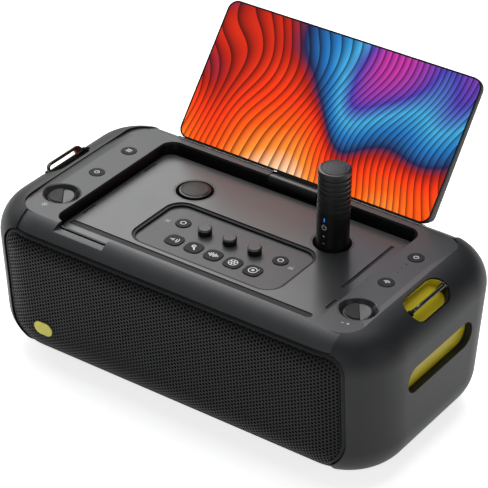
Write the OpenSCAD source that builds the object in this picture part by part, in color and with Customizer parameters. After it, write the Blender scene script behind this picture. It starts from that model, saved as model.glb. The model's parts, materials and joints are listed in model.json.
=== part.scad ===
// Portable karaoke speaker with a flip-up screen and two microphones that park in its deck.
// Z is up, the front grille faces -Y, and the origin is under the middle of the whole object,
// open screen included, on the table.

/* [Body] */
// Width across the two end caps
body_w = 450; // [440:1:480]
// Depth at the widest level
body_d = 247; // [244:1:260]
// Height of the flat deck above the table
deck_z = 162.5; // [158:0.5:175]
// Height of the cap rims above the deck
rim_h = 3; // [2:0.5:4.5]
// Height of the caps' underside above the table
foot_h = 3; // [2:0.5:6]
// How far the front draws in towards the bottom
front_tuck = 7.7; // [2:0.1:12]
// How far the back draws in towards the bottom
back_tuck = 11.7; // [2:0.1:14]
// Corner radius of the front in plan
front_r = 65; // [60:1:75]
// Corner radius of the back in plan
back_r = 58; // [56:1:70]
// Rounding of the upper edges
top_r = 35.5; // [34:0.5:38]
// Rounding of the lower edges
bottom_r = 43; // [38:0.5:46]
// Wall of the end caps
cap_wall = 3.5; // [2.5:0.1:4.5]
// Width of an end cap, from the end to its seam with the centre section
cap_w = 47; // [44:1:50]
// Step from the caps down to the centre section
core_step = 1.5; // [1:0.1:2.2]
// Wall of the centre section
core_wall = 3; // [2:0.1:3.5]
// Height of the seam between bottom pan and rear cover
pan_z = 40; // [34:1:48]
// Gap along the seams between shells
seam = 0.2; // [0.1:0.05:0.3]
// Diameter of a rubber foot
foot_d = 24; // [16:1:30]
// Distance of the feet from the ends
foot_in = 75; // [65:1:105]
// Distance of the feet from the middle along Y
foot_y = 56; // [40:1:60]

/* [Deck] */
// Thickness of the deck plate
deck_t = 3; // [2:0.1:4]
// Width of an end cap beside the deck plate
cap_in = 34; // [30:0.5:36]
// Corner radius of the deck plate
deck_r = 22; // [18:1:26]
// Width of the coved band along each cap
cove_w = 8; // [4:0.5:10]
// Rise of the coved band
cove_h = 1.8; // [0.5:0.1:1.9]
// Width of the deck strip on each side of the recess
strip_w = 42.7; // [42:0.1:43.4]
// Width of the lip left in front of the recess
lip_w = 3.2; // [2.6:0.1:5]
// Width of the rim left behind the recess
rim_w = 6.9; // [6.6:0.1:7.6]
// Corner radius of the recess
recess_r = 14; // [8:1:18]
// Depth of the recess floor below the deck
floor_drop = 10.9; // [10.4:0.1:12]
// Depth of the gutter around the floor
gutter_drop = 16; // [15.4:0.1:18]
// Gutter width at the sides and in front
gutter_w = 3.5; // [2:0.1:5]
// Gutter width at the back
gutter_back = 7; // [6.6:0.1:10]
// Wall of the recess tray
tray_wall = 2; // [1.5:0.1:2.1]
// Distance of the finger notch from the recess's left side
notch_in = 10.3; // [8:0.1:28]
// Length of the finger notch
notch_len = 58; // [30:1:78]
// Depth of the finger notch
notch_drop = 5; // [4:0.1:6]
// Distance of the front groove behind the crease
groove_in = 22.4; // [20:0.1:24]
// Width of the front groove
groove_w = 7.7; // [5:0.1:9]
// Depth of the grooves in the floor
groove_t = 0.9; // [0.5:0.1:1.5]

/* [Control panel] */
// Half width of the panel recess
panel_half = 82; // [79:0.5:88]
// Front edge of the panel recess
panel_y0 = -64; // [-68:0.5:-60]
// Back edge of the panel recess
panel_y1 = 14.6; // [10:0.2:16]
// Corner radius of the panel recess
panel_r = 16; // [8:1:20]
// Depth of the panel below the recess floor
panel_drop = 3.5; // [2.5:0.1:3.6]
// Width of the ledge around the panel recess
ledge_w = 3.4; // [2:0.1:4]
// Depth of that ledge
ledge_t = 1.3; // [0.6:0.1:2]
// Spacing of the three tone knobs
tone_pitch = 28.6; // [20:0.1:30]
// Row of the tone knobs
tone_y = -14.8; // [-18:0.2:-10]
// Radius of a tone knob
tone_r = 6.9; // [5:0.1:8]
// Height of a tone knob
tone_h = 6.9; // [4:0.1:7]
// Distance of the two ring buttons from the panel's sides
ring_btn_in = 25.9; // [22:0.1:28]
// Row of the two ring buttons
ring_btn_y = -11.8; // [-16:0.2:-8]
// Radius of a ring button
ring_btn_r = 7.6; // [6:0.1:8]
// Spacing of the five pads
pad_pitch = 22.5; // [20:0.1:24]
// Row of the five pads
pad_y = -41.1; // [-46:0.1:-38]
// Width of a pad
pad_w = 17.6; // [14:0.1:18.4]
// Corner radius of a pad
pad_r = 6.5; // [4:0.1:7]
// How far buttons and pads stand up
key_h = 0.9; // [0.6:0.1:1.4]
// Travel of the buttons and pads
key_travel = 0.8; // [0.4:0.1:1]
// Gap around buttons and pads
key_gap = 0.3; // [0.25:0.05:0.5]
// Distance of the panel lamps from the panel's sides
lamp_in = 11; // [6:0.5:13]
// Radius of the indicator lamps
lamp_r = 1; // [0.6:0.1:1.5]

/* [Deck strips] */
// Shift of the volume knobs from the middle of the strip towards the recess
vol_shift = 0.45; // [0:0.05:0.6]
// Row of the volume knobs
vol_y = -55; // [-62:0.5:-50]
// Deck left between a volume knob's dish and the recess
dish_gap = 2.2; // [2.1:0.1:3.5]
// Width of the dish's sloped wall around the knob
dish_wall = 5.4; // [4.8:0.1:8]
// Height of a volume knob
vol_h = 10.6; // [8:0.1:12]
// Top of the volume knob below the deck
vol_sink = 2; // [1:0.1:3]
// Distance of the strip buttons from the recess
strip_in = 18.3; // [14:0.1:21]
// Row of the front strip buttons
strip_y0 = -3.6; // [-10:0.1:4]
// Row of the rear strip buttons
strip_y1 = 47.9; // [40:0.1:56]
// Radius of a strip button
strip_r = 7.6; // [6:0.1:9]
// Radius of the knob and button stems
stem_r = 3; // [2:0.1:4]
// Radius of the tone knobs' stems
tone_stem_r = 2; // [1.5:0.1:2.5]
// Running clearance of turning stems
run_gap = 0.05; // [0.02:0.01:0.1]

/* [Screen] */
// Gap between the folded screen and each side of the recess
screen_side = 2; // [1.7:0.1:5]
// Height of the screen
screen_h = 147.7; // [140:0.5:150]
// Corner radius of the screen
screen_r = 11; // [6:0.5:16]
// Thickness near the top edge
screen_top_t = 7; // [6.6:0.1:8]
// Thickness near the hinge
screen_low_t = 12; // [10:0.2:12.4]
// Thickness left at the bevelled lower edge
screen_edge_t = 5; // [4.4:0.1:5.2]
// Height of that bevel
screen_bevel = 7; // [5:0.5:10]
// How far the open screen leans back, in degrees
screen_lean = 39; // [36:0.5:40]
// Distance from the hinge axis to the screen's lower edge
screen_gap = 9.3; // [9.2:0.1:10]
// Face of the screen in front of the hinge axis
face_off = 0.3; // [0.2:0.05:0.5]
// Depth of the front frame
bezel_t = 1.8; // [1.4:0.1:2.4]
// Visible width of the front frame
bezel_w = 1.6; // [1:0.1:3]
// Thickness of the display module
module_t = 2.6; // [1.5:0.1:3]
// Margin of the display module inside the shell
module_in = 8; // [6:0.5:12]
// Hinge axis behind the recess edge
hinge_back = 3.3; // [3.1:0.1:3.5]
// Depth of the hinge axis below the deck
hinge_drop = 6; // [5.9:0.1:6.4]
// Radius of the hinge barrel
barrel_r = 6.2; // [5:0.1:6.3]
// Half length of the hinge barrel
barrel_half = 28; // [20:0.5:34]
// Radius of the hinge pin
pin_r = 1.5; // [1:0.1:1.7]
// Width of each hinge knuckle
knuckle_w = 9; // [6:0.5:12]
// Thickness of the neck between barrel and screen
neck_t = 4; // [3:0.1:4.2]

/* [Microphones] */
// Distance of the microphones from the middle
mic_x = 79.9; // [76:0.1:84]
// Row of the microphones
mic_y = 39.7; // [37:0.1:44]
// Radius of a microphone
mic_r = 15.8; // [14:0.1:16.2]
// Height of a parked microphone's lower end above the table
mic_low = 25; // [23:0.5:33]
// Length of its ribbed head
head_len = 45; // [38:1:50]
// Top of the parked microphone below the deck
mic_sink = 7.5; // [7.4:0.1:10]
// How far the right microphone is lifted out
mic_lift = 79.5; // [60:0.5:84]
// Clearance between microphone and well
mic_gap = 0.4; // [0.3:0.05:0.6]
// Wall of a well
well_wall = 2; // [1.5:0.1:2.5]
// Radius of the flared mouth of a well
mouth_r = 19; // [17.8:0.1:19.6]
// Radius of the collar around the mouth
collar_r = 20.6; // [20:0.1:21.6]

/* [Front] */
// Width of an end cap beside the grille
grille_side = 31; // [27:0.5:37]
// Top of the grille below the deck
grille_top = 12.5; // [11:0.5:14]
// Bottom of the grille above the table
grille_low = 14.5; // [12:0.5:18]
// Upper corner radius of the grille
grille_r1 = 20; // [12:1:24]
// Lower corner radius of the grille
grille_r0 = 40; // [30:1:44]
// Depth of the grille below the cap surface
grille_in = 2; // [1.6:0.1:2.4]
// Thickness of the grille
grille_t = 1.4; // [1:0.1:2]
// Distance of the badge from the grille's end
badge_in = 45.5; // [40:0.5:64]
// Height of the badge above the table
badge_z = 46.5; // [46:0.5:70]
// Length of the badge
badge_w = 22; // [16:0.5:26]
// Height of the badge
badge_h = 15; // [10:0.5:18]
// Depth of the baffle board behind the front
baffle_in = 24.5; // [24:0.5:30]
// Thickness of the baffle board
baffle_t = 6; // [4:0.5:8]
// Radius of a woofer
woofer_r = 50; // [40:1:54]
// Distance of the woofers from the centre section's ends
woofer_in = 70; // [66:1:78]

/* [Ends] */
// Tilt of the carry ring slots on the shoulders, in degrees
slot_tilt = 33; // [28:1:38]
// Length of a carry ring slot
slot_len = 63; // [58:0.5:68]
// Width of a carry ring slot
slot_w = 28; // [24:0.5:30]
// Depth of the slot liner
slot_depth = 10; // [8:0.5:11]
// Wall of the slot liner
slot_wall = 1.2; // [0.8:0.1:1.6]
// Depth of the liner's edge below the shoulder
slot_rim = 2; // [1:0.1:2.5]
// Length of a carry ring
ring_len = 54.6; // [48:0.2:55]
// Reach of a carry ring from its pivot to its bar
ring_reach = 6.6; // [6.4:0.1:8]
// Radius of the carry ring wire
wire_r = 1.8; // [1.4:0.1:2]
// Bend radius of the carry ring
ring_bend = 6; // [4:0.1:6.2]
// Depth of the ring pivot below the shoulder
ring_sink = 1.6; // [1:0.1:3]
// Angle of the raised ring from the slot's axis, in degrees
ring_up = 5; // [0:1:20]
// Length of the closed rear end of a carry ring
ring_web = 9; // [5:0.5:12]
// Thickness of a ring lug
lug_t = 1.8; // [1.4:0.1:2]
// Length of a grip slot
grip_len = 112; // [90:1:112]
// Height of a grip slot
grip_w = 27; // [22:0.5:30]
// Middle of a grip slot above the table
grip_z = 100.9; // [90:0.5:108]
// Middle of a grip slot along Y
grip_y = 1.7; // [0:0.1:3]
// Depth of a grip slot
grip_depth = 8; // [6:0.5:10]
// Wall around a grip slot
grip_wall = 2.4; // [1.6:0.1:3]

/* [Inside] */
// Length of the battery pack
battery_l = 100; // [70:1:110]
// Depth of the battery pack
battery_d = 66; // [40:1:72]
// Height of the battery pack
battery_h = 42; // [24:1:50]
// Width of the main board
board_w = 150; // [100:1:180]
// Depth of the main board
board_d = 74; // [50:1:80]
// Height of the board's spacers
board_gap = 8; // [5:0.5:14]

/* [Hidden] */
$fn = 96;
core_w = body_w - 2 * cap_w;
deck_half = body_w / 2 - cap_in;
recess_half = deck_half - strip_w;
screen_w = 2 * (recess_half - screen_side);
vol_x = recess_half + strip_w / 2 - vol_shift;
dish_r = strip_w / 2 - vol_shift - dish_gap;
vol_r = dish_r - dish_wall;
strip_x = recess_half + strip_in;
notch_x0 = -recess_half + notch_in;
notch_x1 = notch_x0 + notch_len;
ring_btn_x = panel_half - ring_btn_in;
lamp_x = panel_half - lamp_in;
grille_half = body_w / 2 - grille_side;
badge_x = grille_half - badge_in;
foot_x = body_w / 2 - foot_in;
woofer_x = core_w / 2 - woofer_in;
front_y = -body_d / 2;
back_y = body_d / 2;
cap_top = deck_z + rim_h;
crease = body_d / 2 - top_r + sqrt(pow(top_r - core_step, 2) - pow(top_r - rim_h, 2));
recess_y0 = -crease + lip_w;
recess_y1 = crease - rim_w;
tray_top = deck_z - deck_t;
floor_z = deck_z - floor_drop;
gutter_z = deck_z - gutter_drop;
tray_z = gutter_z - tray_wall;
panel_z = floor_z - panel_drop;
hinge_y = recess_y1 + hinge_back;
hinge_z = deck_z - hinge_drop;
mic_top = deck_z - mic_sink;
mic_len = mic_top - mic_low;
well_r = mic_r + mic_gap;
well_z = mic_top - mic_len - 0.3;
shoulder_x = body_w / 2 - top_r;
shoulder_z = cap_top - top_r;
big = 600;
top_back_y = hinge_y + (screen_gap + screen_h) * sin(screen_lean)
  + (screen_top_t - face_off) * cos(screen_lean);
origin_y = (front_y + grille_in + top_back_y) / 2;

module placed() translate([0, -origin_y, 0]) children();

// Rounded rectangle about the middle
module rrect(w, h, r) {
  square([w - 2 * r, h], center = true);
  square([w, h - 2 * r], center = true);
  for (sx = [-1, 1], sy = [-1, 1]) translate([sx * (w / 2 - r), sy * (h / 2 - r)]) circle(r);
}
// Rounded rectangle between two corners
module rbox(x0, x1, y0, y1, r) translate([(x0 + x1) / 2, (y0 + y1) / 2]) rrect(x1 - x0, y1 - y0, r);
// Slot outline, long along Y
module stadium(len, wid) {
  square([wid, len - wid], center = true);
  for (s = [-1, 1]) translate([0, s * (len - wid) / 2]) circle(d = wid);
}
// One rounded corner of the body
module corner(plan_r, edge_r, inset) rotate_extrude($fn = 40) intersection() {
  translate([plan_r - edge_r, 0]) circle(edge_r - inset, $fn = 32);
  translate([0, -edge_r]) square([plan_r + edge_r, 2 * edge_r]);
}
// The body's outer form, drawn in by inset
module form(inset) hull() for (s = [-1, 1]) {
  translate([s * (body_w / 2 - front_r), front_y + front_r, cap_top - top_r]) corner(front_r, top_r, inset);
  translate([s * (body_w / 2 - back_r), back_y - back_r, cap_top - top_r]) corner(back_r, top_r, inset);
  translate([s * (body_w / 2 - front_r), front_y + front_tuck + front_r, foot_h + bottom_r])
    corner(front_r, bottom_r, inset);
  translate([s * (body_w / 2 - back_r), back_y - back_tuck - back_r, foot_h + bottom_r])
    corner(back_r, bottom_r, inset);
}
// Space of the grille, looking along Y, up to the middle of the body
module grille_space(gap) translate([0, 0, 0]) rotate([90, 0, 0]) linear_extrude(big) {
  w = grille_half - gap;
  z0 = grille_low + gap;
  z1 = deck_z - grille_top - gap;
  r0 = grille_r0 - gap;
  r1 = grille_r1 - gap;
  for (s = [-1, 1]) {
    translate([s * (w - r0), z0 + r0]) circle(r0);
    translate([s * (w - r1), z1 - r1]) circle(r1);
  }
  translate([-(w - r0), z0]) square([2 * (w - r0), r0 + 1]);
  translate([-w, z0 + r0]) square([2 * w, z1 - r1 - z0 - r0]);
  translate([-(w - r1), z1 - r1 - 1]) square([2 * (w - r1), r1 + 1]);
}
module recess_shape(grow) rbox(-recess_half - grow, recess_half + grow, recess_y0 - grow,
  recess_y1 + grow, recess_r + grow);
module deck_shape(grow) rrect(2 * (deck_half + grow), 2 * (crease + grow), deck_r + grow);
module sides() for (s = [-1, 1]) scale([1, 1, 1]) translate([s * vol_x, vol_y, 0]) children();
// The notch that frees the hinge barrel and its neck
module hinge_notch(half, y1) translate([-half, recess_y1 - 8, hinge_z - barrel_r - 2.8])
  cube([2 * half, y1 - recess_y1 + 8, 40]);
neck_reach = (screen_gap * sin(screen_lean) + neck_t * cos(screen_lean)) + 0.2;
notch_half = barrel_half + 0.8;

module deck_frame() placed() color("#6f7173") difference() {
  union() {
    translate([0, 0, deck_z - deck_t]) linear_extrude(deck_t) deck_shape(0);
    intersection() {
      difference() {
        form(core_step);
        form(core_step + core_wall);
      }
      translate([-core_w / 2 + seam, -big, 0]) cube([core_w - 2 * seam, big - crease + 4, deck_z]);
    }
    translate([notch_x0 - 2, -crease - 7.5, deck_z - notch_drop - 2])
      cube([notch_x1 - notch_x0 + 4, 8.5, notch_drop + 1]);
    for (s = [-1, 1]) translate([s * deck_half, crease - deck_r, deck_z - 0.5]) rotate([90, 0, 0])
      linear_extrude(2 * (crease - deck_r))
        polygon([[0, 0], [0, 0.5 + cove_h], [-s * cove_w * 0.4, 0.5 + cove_h * 0.45], [-s * cove_w, 0.5], [-s * cove_w, 0]]);
  }
  translate([0, 0, 0]) intersection() {
    translate([-big / 2, -big, -1]) cube([big, big, deck_z - grille_top + 1]);
    translate([-big / 2, -big, -1]) cube([big, big - 20, big]);
  }
  grille_space(0);
  translate([0, 0, deck_z - deck_t - 1]) linear_extrude(deck_t + 2) recess_shape(0);
  for (s = [-1, 1]) {
    translate([s * vol_x, vol_y, deck_z - deck_t - 1]) cylinder(h = deck_t + 10, r = dish_r + 0.1);
    for (y = [strip_y0, strip_y1]) translate([s * strip_x, y, deck_z - deck_t - 1])
      cylinder(h = deck_t + 2, r = strip_r + key_gap);
  }
  for (k = [0:2]) translate([strip_x - 1.3, strip_y1 - 15 - 8 * k, deck_z - deck_t - 1])
    cylinder(h = deck_t + 2, r = lamp_r - 0.15);
  translate([notch_x0, -big / 2, deck_z - notch_drop]) cube([notch_x1 - notch_x0, big / 2 + recess_y0 + 1, 20]);
  hinge_notch(notch_half, hinge_y + neck_reach);
}

module rear_cover() placed() color("#5c5e60") difference() {
  form(core_step);
  form(core_step + core_wall);
  translate([-big / 2, -big, -1]) cube([big, big + crease + seam, big]);
  translate([-big / 2, -1, -1]) cube([big, big, pan_z + 1]);
  translate([core_w / 2 - seam, -1, -1]) cube([big, big, big]);
  translate([-core_w / 2 + seam - big, -1, -1]) cube([big, big, big]);
  translate([-big / 2, -1, deck_z]) cube([big, big, big]);
  hinge_notch(notch_half, hinge_y + neck_reach);
}

module bottom_pan() placed() color("#333436") difference() {
  form(core_step);
  form(core_step + core_wall);
  translate([-big / 2, -big / 2, pan_z - seam]) cube([big, big, big]);
  translate([core_w / 2 - seam, -big / 2, -1]) cube([big, big, big]);
  translate([-core_w / 2 + seam - big, -big / 2, -1]) cube([big, big, big]);
  grille_space(0);
}

// End cap on the side s, with its slot on the shoulder and its grip slot
module end_cap(s) difference() {
  union() {
    difference() {
      form(0);
      form(cap_wall);
    }
    translate([s * (body_w / 2 - 1), grip_y, grip_z]) rotate([0, -s * 90, 0])
      linear_extrude(grip_depth - 1) stadium(grip_len + 2 * grip_wall, grip_w + 2 * grip_wall);
  }
  translate([s * core_w / 2 - (s > 0 ? big : 0), -big / 2, -1]) cube([big, big, big]);
  translate([0, 0, deck_z - deck_t - seam]) linear_extrude(big) deck_shape(seam);
  grille_space(0);
  at_slot(s) translate([0, 0, -cap_wall - 14]) linear_extrude(40) stadium(slot_len, slot_w);
  translate([s * (body_w / 2 + 1), grip_y, grip_z]) rotate([0, -s * 90, 0])
    linear_extrude(grip_depth + 2) stadium(grip_len, grip_w);
}
module end_cap_left() placed() color("#38393b") end_cap(-1);
module end_cap_right() placed() color("#38393b") end_cap(1);

// Frame of a shoulder slot: origin on the surface, Z along the slot's axis
module at_slot(s) translate([s * (shoulder_x + top_r * sin(slot_tilt)), 0,
  shoulder_z + top_r * cos(slot_tilt)]) rotate([0, s * slot_tilt, 0]) children();
module slot_liner(s) difference() {
  intersection() {
    at_slot(s) translate([0, 0, -slot_depth - 1.5]) linear_extrude(30)
      stadium(slot_len - 0.2, slot_w - 0.2);
    translate([s * shoulder_x, -big / 2, shoulder_z]) rotate([-90, 0, 0])
      cylinder(h = big, r = top_r - slot_rim);
  }
  at_slot(s) translate([0, 0, -slot_depth]) linear_extrude(40)
    stadium(slot_len - 0.2 - 2 * slot_wall, slot_w - 0.2 - 2 * slot_wall);
}
module slot_liner_left() placed() color("#a99a12") slot_liner(-1);
module slot_liner_right() placed() color("#a99a12") slot_liner(1);

lug_y = ring_len / 2 + 0.35;
module ring_lugs() placed() color("#1c1c1d") for (s = [-1, 1], e = [-1, 1])
  at_slot(s) translate([0, e * (lug_y + lug_t / 2), 0]) difference() {
    union() {
      translate([0, lug_t / 2, -ring_sink]) rotate([90, 0, 0]) cylinder(h = lug_t, r = wire_r + 1.4);
      translate([-wire_r - 1.2, -lug_t / 2, -slot_depth]) cube([2 * wire_r + 2.4, lug_t, slot_depth - ring_sink]);
    }
    translate([0, lug_t, -ring_sink]) rotate([90, 0, 0]) cylinder(h = 2 * lug_t, r = wire_r - 0.4 + run_gap);
  }

// Carry ring: pivot rod, two bent arms, outer bar and a closed rear end
module carry_ring(s) at_slot(s) translate([0, 0, -ring_sink]) rotate([0, s * ring_up, 0]) {
  half = ring_len / 2 - wire_r;
  rotate([90, 0, 0]) translate([0, 0, -half - 0.6]) cylinder(h = 2 * half + 1.2, r = wire_r);
  rotate([90, 0, 0]) translate([0, 0, -lug_y - lug_t + 0.2]) cylinder(h = 2 * (lug_y + lug_t - 0.2), r = wire_r - 0.4);
  translate([0, 0, ring_reach]) rotate([90, 0, 0]) translate([0, 0, -half + ring_bend])
    cylinder(h = 2 * (half - ring_bend), r = wire_r);
  for (e = [-1, 1]) {
    translate([0, e * half, 0]) cylinder(h = ring_reach - ring_bend, r = wire_r);
    translate([0, e * (half - ring_bend), ring_reach - ring_bend]) rotate([0, -90, 0])
      rotate([0, 0, e > 0 ? 0 : -90]) rotate_extrude(angle = 90) translate([ring_bend, 0]) circle(wire_r, $fn = 32);
  }
  translate([-wire_r * 0.75, half - ring_web, 0]) cube([wire_r * 1.5, ring_web - ring_bend * 0.35, ring_reach - 0.3]);
}
module carry_ring_left() placed() color("#8b8a80") carry_ring(-1);
module carry_ring_right() placed() color("#8b8a80") carry_ring(1);

module grip_plate(s) translate([s * (body_w / 2 - grip_depth), grip_y, grip_z]) rotate([0, -s * 90, 0])
  linear_extrude(1.5) stadium(grip_len + 2 * grip_wall - 0.4, grip_w + 2 * grip_wall - 0.4);
module grip_plate_left() placed() color("#a99a12") grip_plate(-1);
module grip_plate_right() placed() color("#a99a12") grip_plate(1);

module rubber_feet() placed() color("#1a1a1a") for (sx = [-1, 1], y = [-foot_y - 2, foot_y])
  translate([sx * foot_x, y, 0]) cylinder(h = foot_h + core_step, d = foot_d);

module grille() placed() color("#17181a") difference() {
  intersection() {
    form(grille_in);
    grille_space(seam);
  }
  form(grille_in + grille_t);
}

lean_front = atan(front_tuck / (cap_top - top_r - foot_h - bottom_r));
front_at = front_y + front_tuck * (cap_top - top_r - badge_z) / (cap_top - top_r - foot_h - bottom_r);
module badge() placed() color("#efe98a") translate([-badge_x, front_at + grille_in, badge_z])
  rotate([90 + lean_front, 0, 0]) translate([0, 0, 0.1]) linear_extrude(1.2)
    rotate([0, 0, 90]) stadium(badge_w, badge_h);

baffle_y = front_y + baffle_in;
baffle_z0 = foot_h + bottom_r - sqrt(pow(bottom_r - core_step - core_wall, 2)
  - pow(min(bottom_r - core_step - core_wall, max(0, front_y + front_tuck + bottom_r - baffle_y)), 2)) + 0.3;
baffle_z1 = tray_z - 0.3;
woofer_z = (baffle_z0 + baffle_z1) / 2;
module baffle() placed() color("#2a2a2b") difference() {
  translate([-core_w / 2 + 5, baffle_y, baffle_z0]) cube([core_w - 10, baffle_t, baffle_z1 - baffle_z0]);
  for (s = [-1, 1]) translate([s * woofer_x, baffle_y - 1, woofer_z]) rotate([-90, 0, 0])
    cylinder(h = baffle_t + 2, r = woofer_r);
}
module woofer(s) translate([s * woofer_x, baffle_y, woofer_z]) rotate([90, 0, 0]) {
  difference() {
    cylinder(h = woofer_r * 0.06, r = woofer_r * 1.1);
    translate([0, 0, -1]) cylinder(h = woofer_r * 0.06 + 2, r = woofer_r * 0.84);
  }
  difference() {
    translate([0, 0, -woofer_r * 0.52]) cylinder(h = woofer_r * 0.54, r1 = woofer_r * 0.4, r2 = woofer_r * 0.98);
    translate([0, 0, -woofer_r * 0.44]) cylinder(h = woofer_r * 0.5, r1 = woofer_r * 0.32, r2 = woofer_r * 0.92);
  }
  translate([0, 0, -woofer_r * 0.84]) cylinder(h = woofer_r * 0.36, r = woofer_r * 0.56);
}
module woofer_left() placed() color("#2d2d30") woofer(-1);
module woofer_right() placed() color("#2d2d30") woofer(1);

module at_mics() for (s = [-1, 1]) translate([s * mic_x, mic_y, 0]) children();

module recess_tray() placed() color("#141415") difference() {
  translate([0, 0, tray_z]) linear_extrude(tray_top - tray_z) recess_shape(tray_wall);
  translate([0, 0, gutter_z]) linear_extrude(big) recess_shape(0);
  at_mics() translate([0, 0, tray_z - 1]) cylinder(h = 10, r = well_r);
  translate([-notch_half - knuckle_w - 0.5, recess_y1 - 2, hinge_z - barrel_r - 3])
    cube([2 * (notch_half + knuckle_w + 0.5), 10, 40]);
  translate([notch_x0, recess_y0 - 9, deck_z - notch_drop]) cube([notch_x1 - notch_x0, 12, 20]);
  for (s = [-1, 0, 1]) translate([s * tone_pitch, tone_y, tray_z - 1]) cylinder(h = 10, r = tone_stem_r + 1);
}

module panel_shape(grow) rbox(-panel_half - grow, panel_half + grow, panel_y0 - grow, panel_y1 + grow, panel_r + grow);
module recess_floor() placed() color("#5a5c5e") difference() {
  translate([0, 0, gutter_z]) linear_extrude(floor_z - gutter_z)
    rbox(-recess_half + gutter_w, recess_half - gutter_w, recess_y0 + gutter_w, recess_y1 - gutter_back,
      recess_r - gutter_w);
  translate([0, 0, gutter_z - 1]) linear_extrude(20) panel_shape(0);
  translate([0, 0, floor_z - ledge_t]) linear_extrude(20) panel_shape(ledge_w);
  at_mics() translate([0, 0, gutter_z - 1]) cylinder(h = 20, r = collar_r + 0.1);
  translate([0, 0, floor_z - groove_t]) linear_extrude(5) {
    y0 = -crease + groove_in - groove_w / 2;
    translate([-recess_half + gutter_w + 4, y0]) square([recess_half * 2 - 26, groove_w]);
    translate([recess_half - 22 + gutter_w, y0 + groove_w / 2]) circle(d = groove_w);
    for (y = [-48.5, 49]) translate([-recess_half + gutter_w + 2, y - 9.5]) square([2.4, 19]);
    translate([recess_half - 20, -20]) square([3.6, recess_y1 - gutter_back + 2.9]);
    translate([recess_half - 13, -57]) square([3, 17]);
  }
}

module control_panel() placed() color("#3f4143") difference() {
  translate([0, 0, gutter_z]) linear_extrude(panel_z - gutter_z) panel_shape(-0.1);
  for (s = [-1, 0, 1]) translate([s * tone_pitch, tone_y, gutter_z - 1]) cylinder(h = 10, r = tone_stem_r + run_gap);
  for (s = [-1, 1]) {
    translate([s * ring_btn_x, ring_btn_y, gutter_z - 1]) cylinder(h = 10, r = ring_btn_r + key_gap);
    translate([s * lamp_x, ring_btn_y + 1, gutter_z - 1]) cylinder(h = 10, r = lamp_r + 0.05);
  }
  for (k = [-2:2]) translate([k * pad_pitch, pad_y, gutter_z - 1]) linear_extrude(10)
    rrect(pad_w + 2 * key_gap, pad_w + 2 * key_gap, pad_r + key_gap);
}

module bore_collars() placed() color("#1b1c1d") at_mics() difference() {
  translate([0, 0, gutter_z]) cylinder(h = floor_z - gutter_z, r = collar_r);
  translate([0, 0, gutter_z - 1]) cylinder(h = 20, r = well_r);
  translate([0, 0, gutter_z + 1]) cylinder(h = floor_z - gutter_z - 1 + 0.01, r1 = well_r, r2 = mouth_r);
}
module mic_wells() placed() color("#222324") at_mics() difference() {
  translate([0, 0, well_z - well_wall]) cylinder(h = tray_z - well_z + well_wall, r = well_r + well_wall);
  translate([0, 0, well_z]) cylinder(h = big, r = well_r);
  for (x = [-5, 5]) translate([x, 0, well_z - well_wall - 1]) cylinder(h = 10, r = 1.2);
}
module well_contacts() placed() color("#c9a24a") at_mics() for (x = [-5, 5])
  translate([x, 0, well_z - well_wall - 2]) cylinder(h = well_wall + 2.1, r = 1.15);

module hinge_bracket() placed() color("#202122") difference() {
  translate([-notch_half - knuckle_w, recess_y1 + 0.3, hinge_z - barrel_r - 2.8])
    cube([2 * (notch_half + knuckle_w), crease - recess_y1 - 0.5, barrel_r + 2.8 + hinge_drop - deck_t]);
  translate([-notch_half, recess_y1 - 5, hinge_z - barrel_r - 1.2]) cube([2 * notch_half, 20, 40]);
  translate([-big / 2, hinge_y, hinge_z]) rotate([0, 90, 0]) cylinder(h = big, r = pin_r + 0.02);
}
module hinge_pin() placed() color("#a8a8a8") translate([-notch_half - knuckle_w, hinge_y, hinge_z])
  rotate([0, 90, 0]) cylinder(h = 2 * (notch_half + knuckle_w), r = pin_r);

dish_floor = deck_z - vol_sink - vol_h - 0.4;
module knob_dishes() placed() color("#1a1b1c") for (s = [-1, 1]) translate([s * vol_x, vol_y, 0])
  difference() {
    translate([0, 0, dish_floor - 1.6]) cylinder(h = deck_z - dish_floor + 1.6, r = dish_r);
    translate([0, 0, dish_floor]) cylinder(h = deck_z - dish_floor - 5, r = vol_r + 0.6);
    translate([0, 0, deck_z - 5.01]) cylinder(h = 5.02, r1 = vol_r + 0.6, r2 = dish_r - 0.9);
    translate([0, 0, dish_floor - 5]) cylinder(h = 10, r = stem_r + run_gap);
  }
module volume_knob(s) translate([s * vol_x, vol_y, 0]) difference() {
  union() {
    translate([0, 0, dish_floor + 0.3]) cylinder(h = vol_h - 1.2, r = vol_r);
    translate([0, 0, dish_floor + vol_h - 0.91]) cylinder(h = 1.2, r1 = vol_r, r2 = vol_r - 1.2);
    translate([0, 0, dish_floor - 8]) cylinder(h = 9, r = stem_r);
  }
  translate([0, 0, dish_floor + vol_h - 1.4]) rotate([0, 0, 35]) translate([1.2, -big / 2, 0])
    rotate([0, -9, 0]) cube([big, big, 20]);
}
module volume_knob_left() placed() color("#242526") volume_knob(-1);
module volume_knob_right() placed() color("#242526") volume_knob(1);

module strip_lamps() placed() color("#9fb4c4") for (k = [0:2])
  translate([strip_x - 1.3, strip_y1 - 15 - 8 * k, deck_z - deck_t]) cylinder(h = deck_t - 0.1, r = lamp_r - 0.2);
module panel_lamps() placed() color("#9fb4c4") for (s = [-1, 1])
  translate([s * lamp_x, ring_btn_y + 1, gutter_z]) cylinder(h = panel_z - gutter_z - 0.05, r = lamp_r);

module strip_button(s, y) translate([s * strip_x, y, deck_z - deck_t + 0.2]) cylinder(h = deck_t - 0.2 + 0.5, r = strip_r);
module strip_button_front_left() placed() color("#232425") strip_button(-1, strip_y0);
module strip_button_rear_left() placed() color("#232425") strip_button(-1, strip_y1);
module strip_button_front_right() placed() color("#232425") strip_button(1, strip_y0);
module strip_button_rear_right() placed() color("#232425") strip_button(1, strip_y1);

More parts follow.
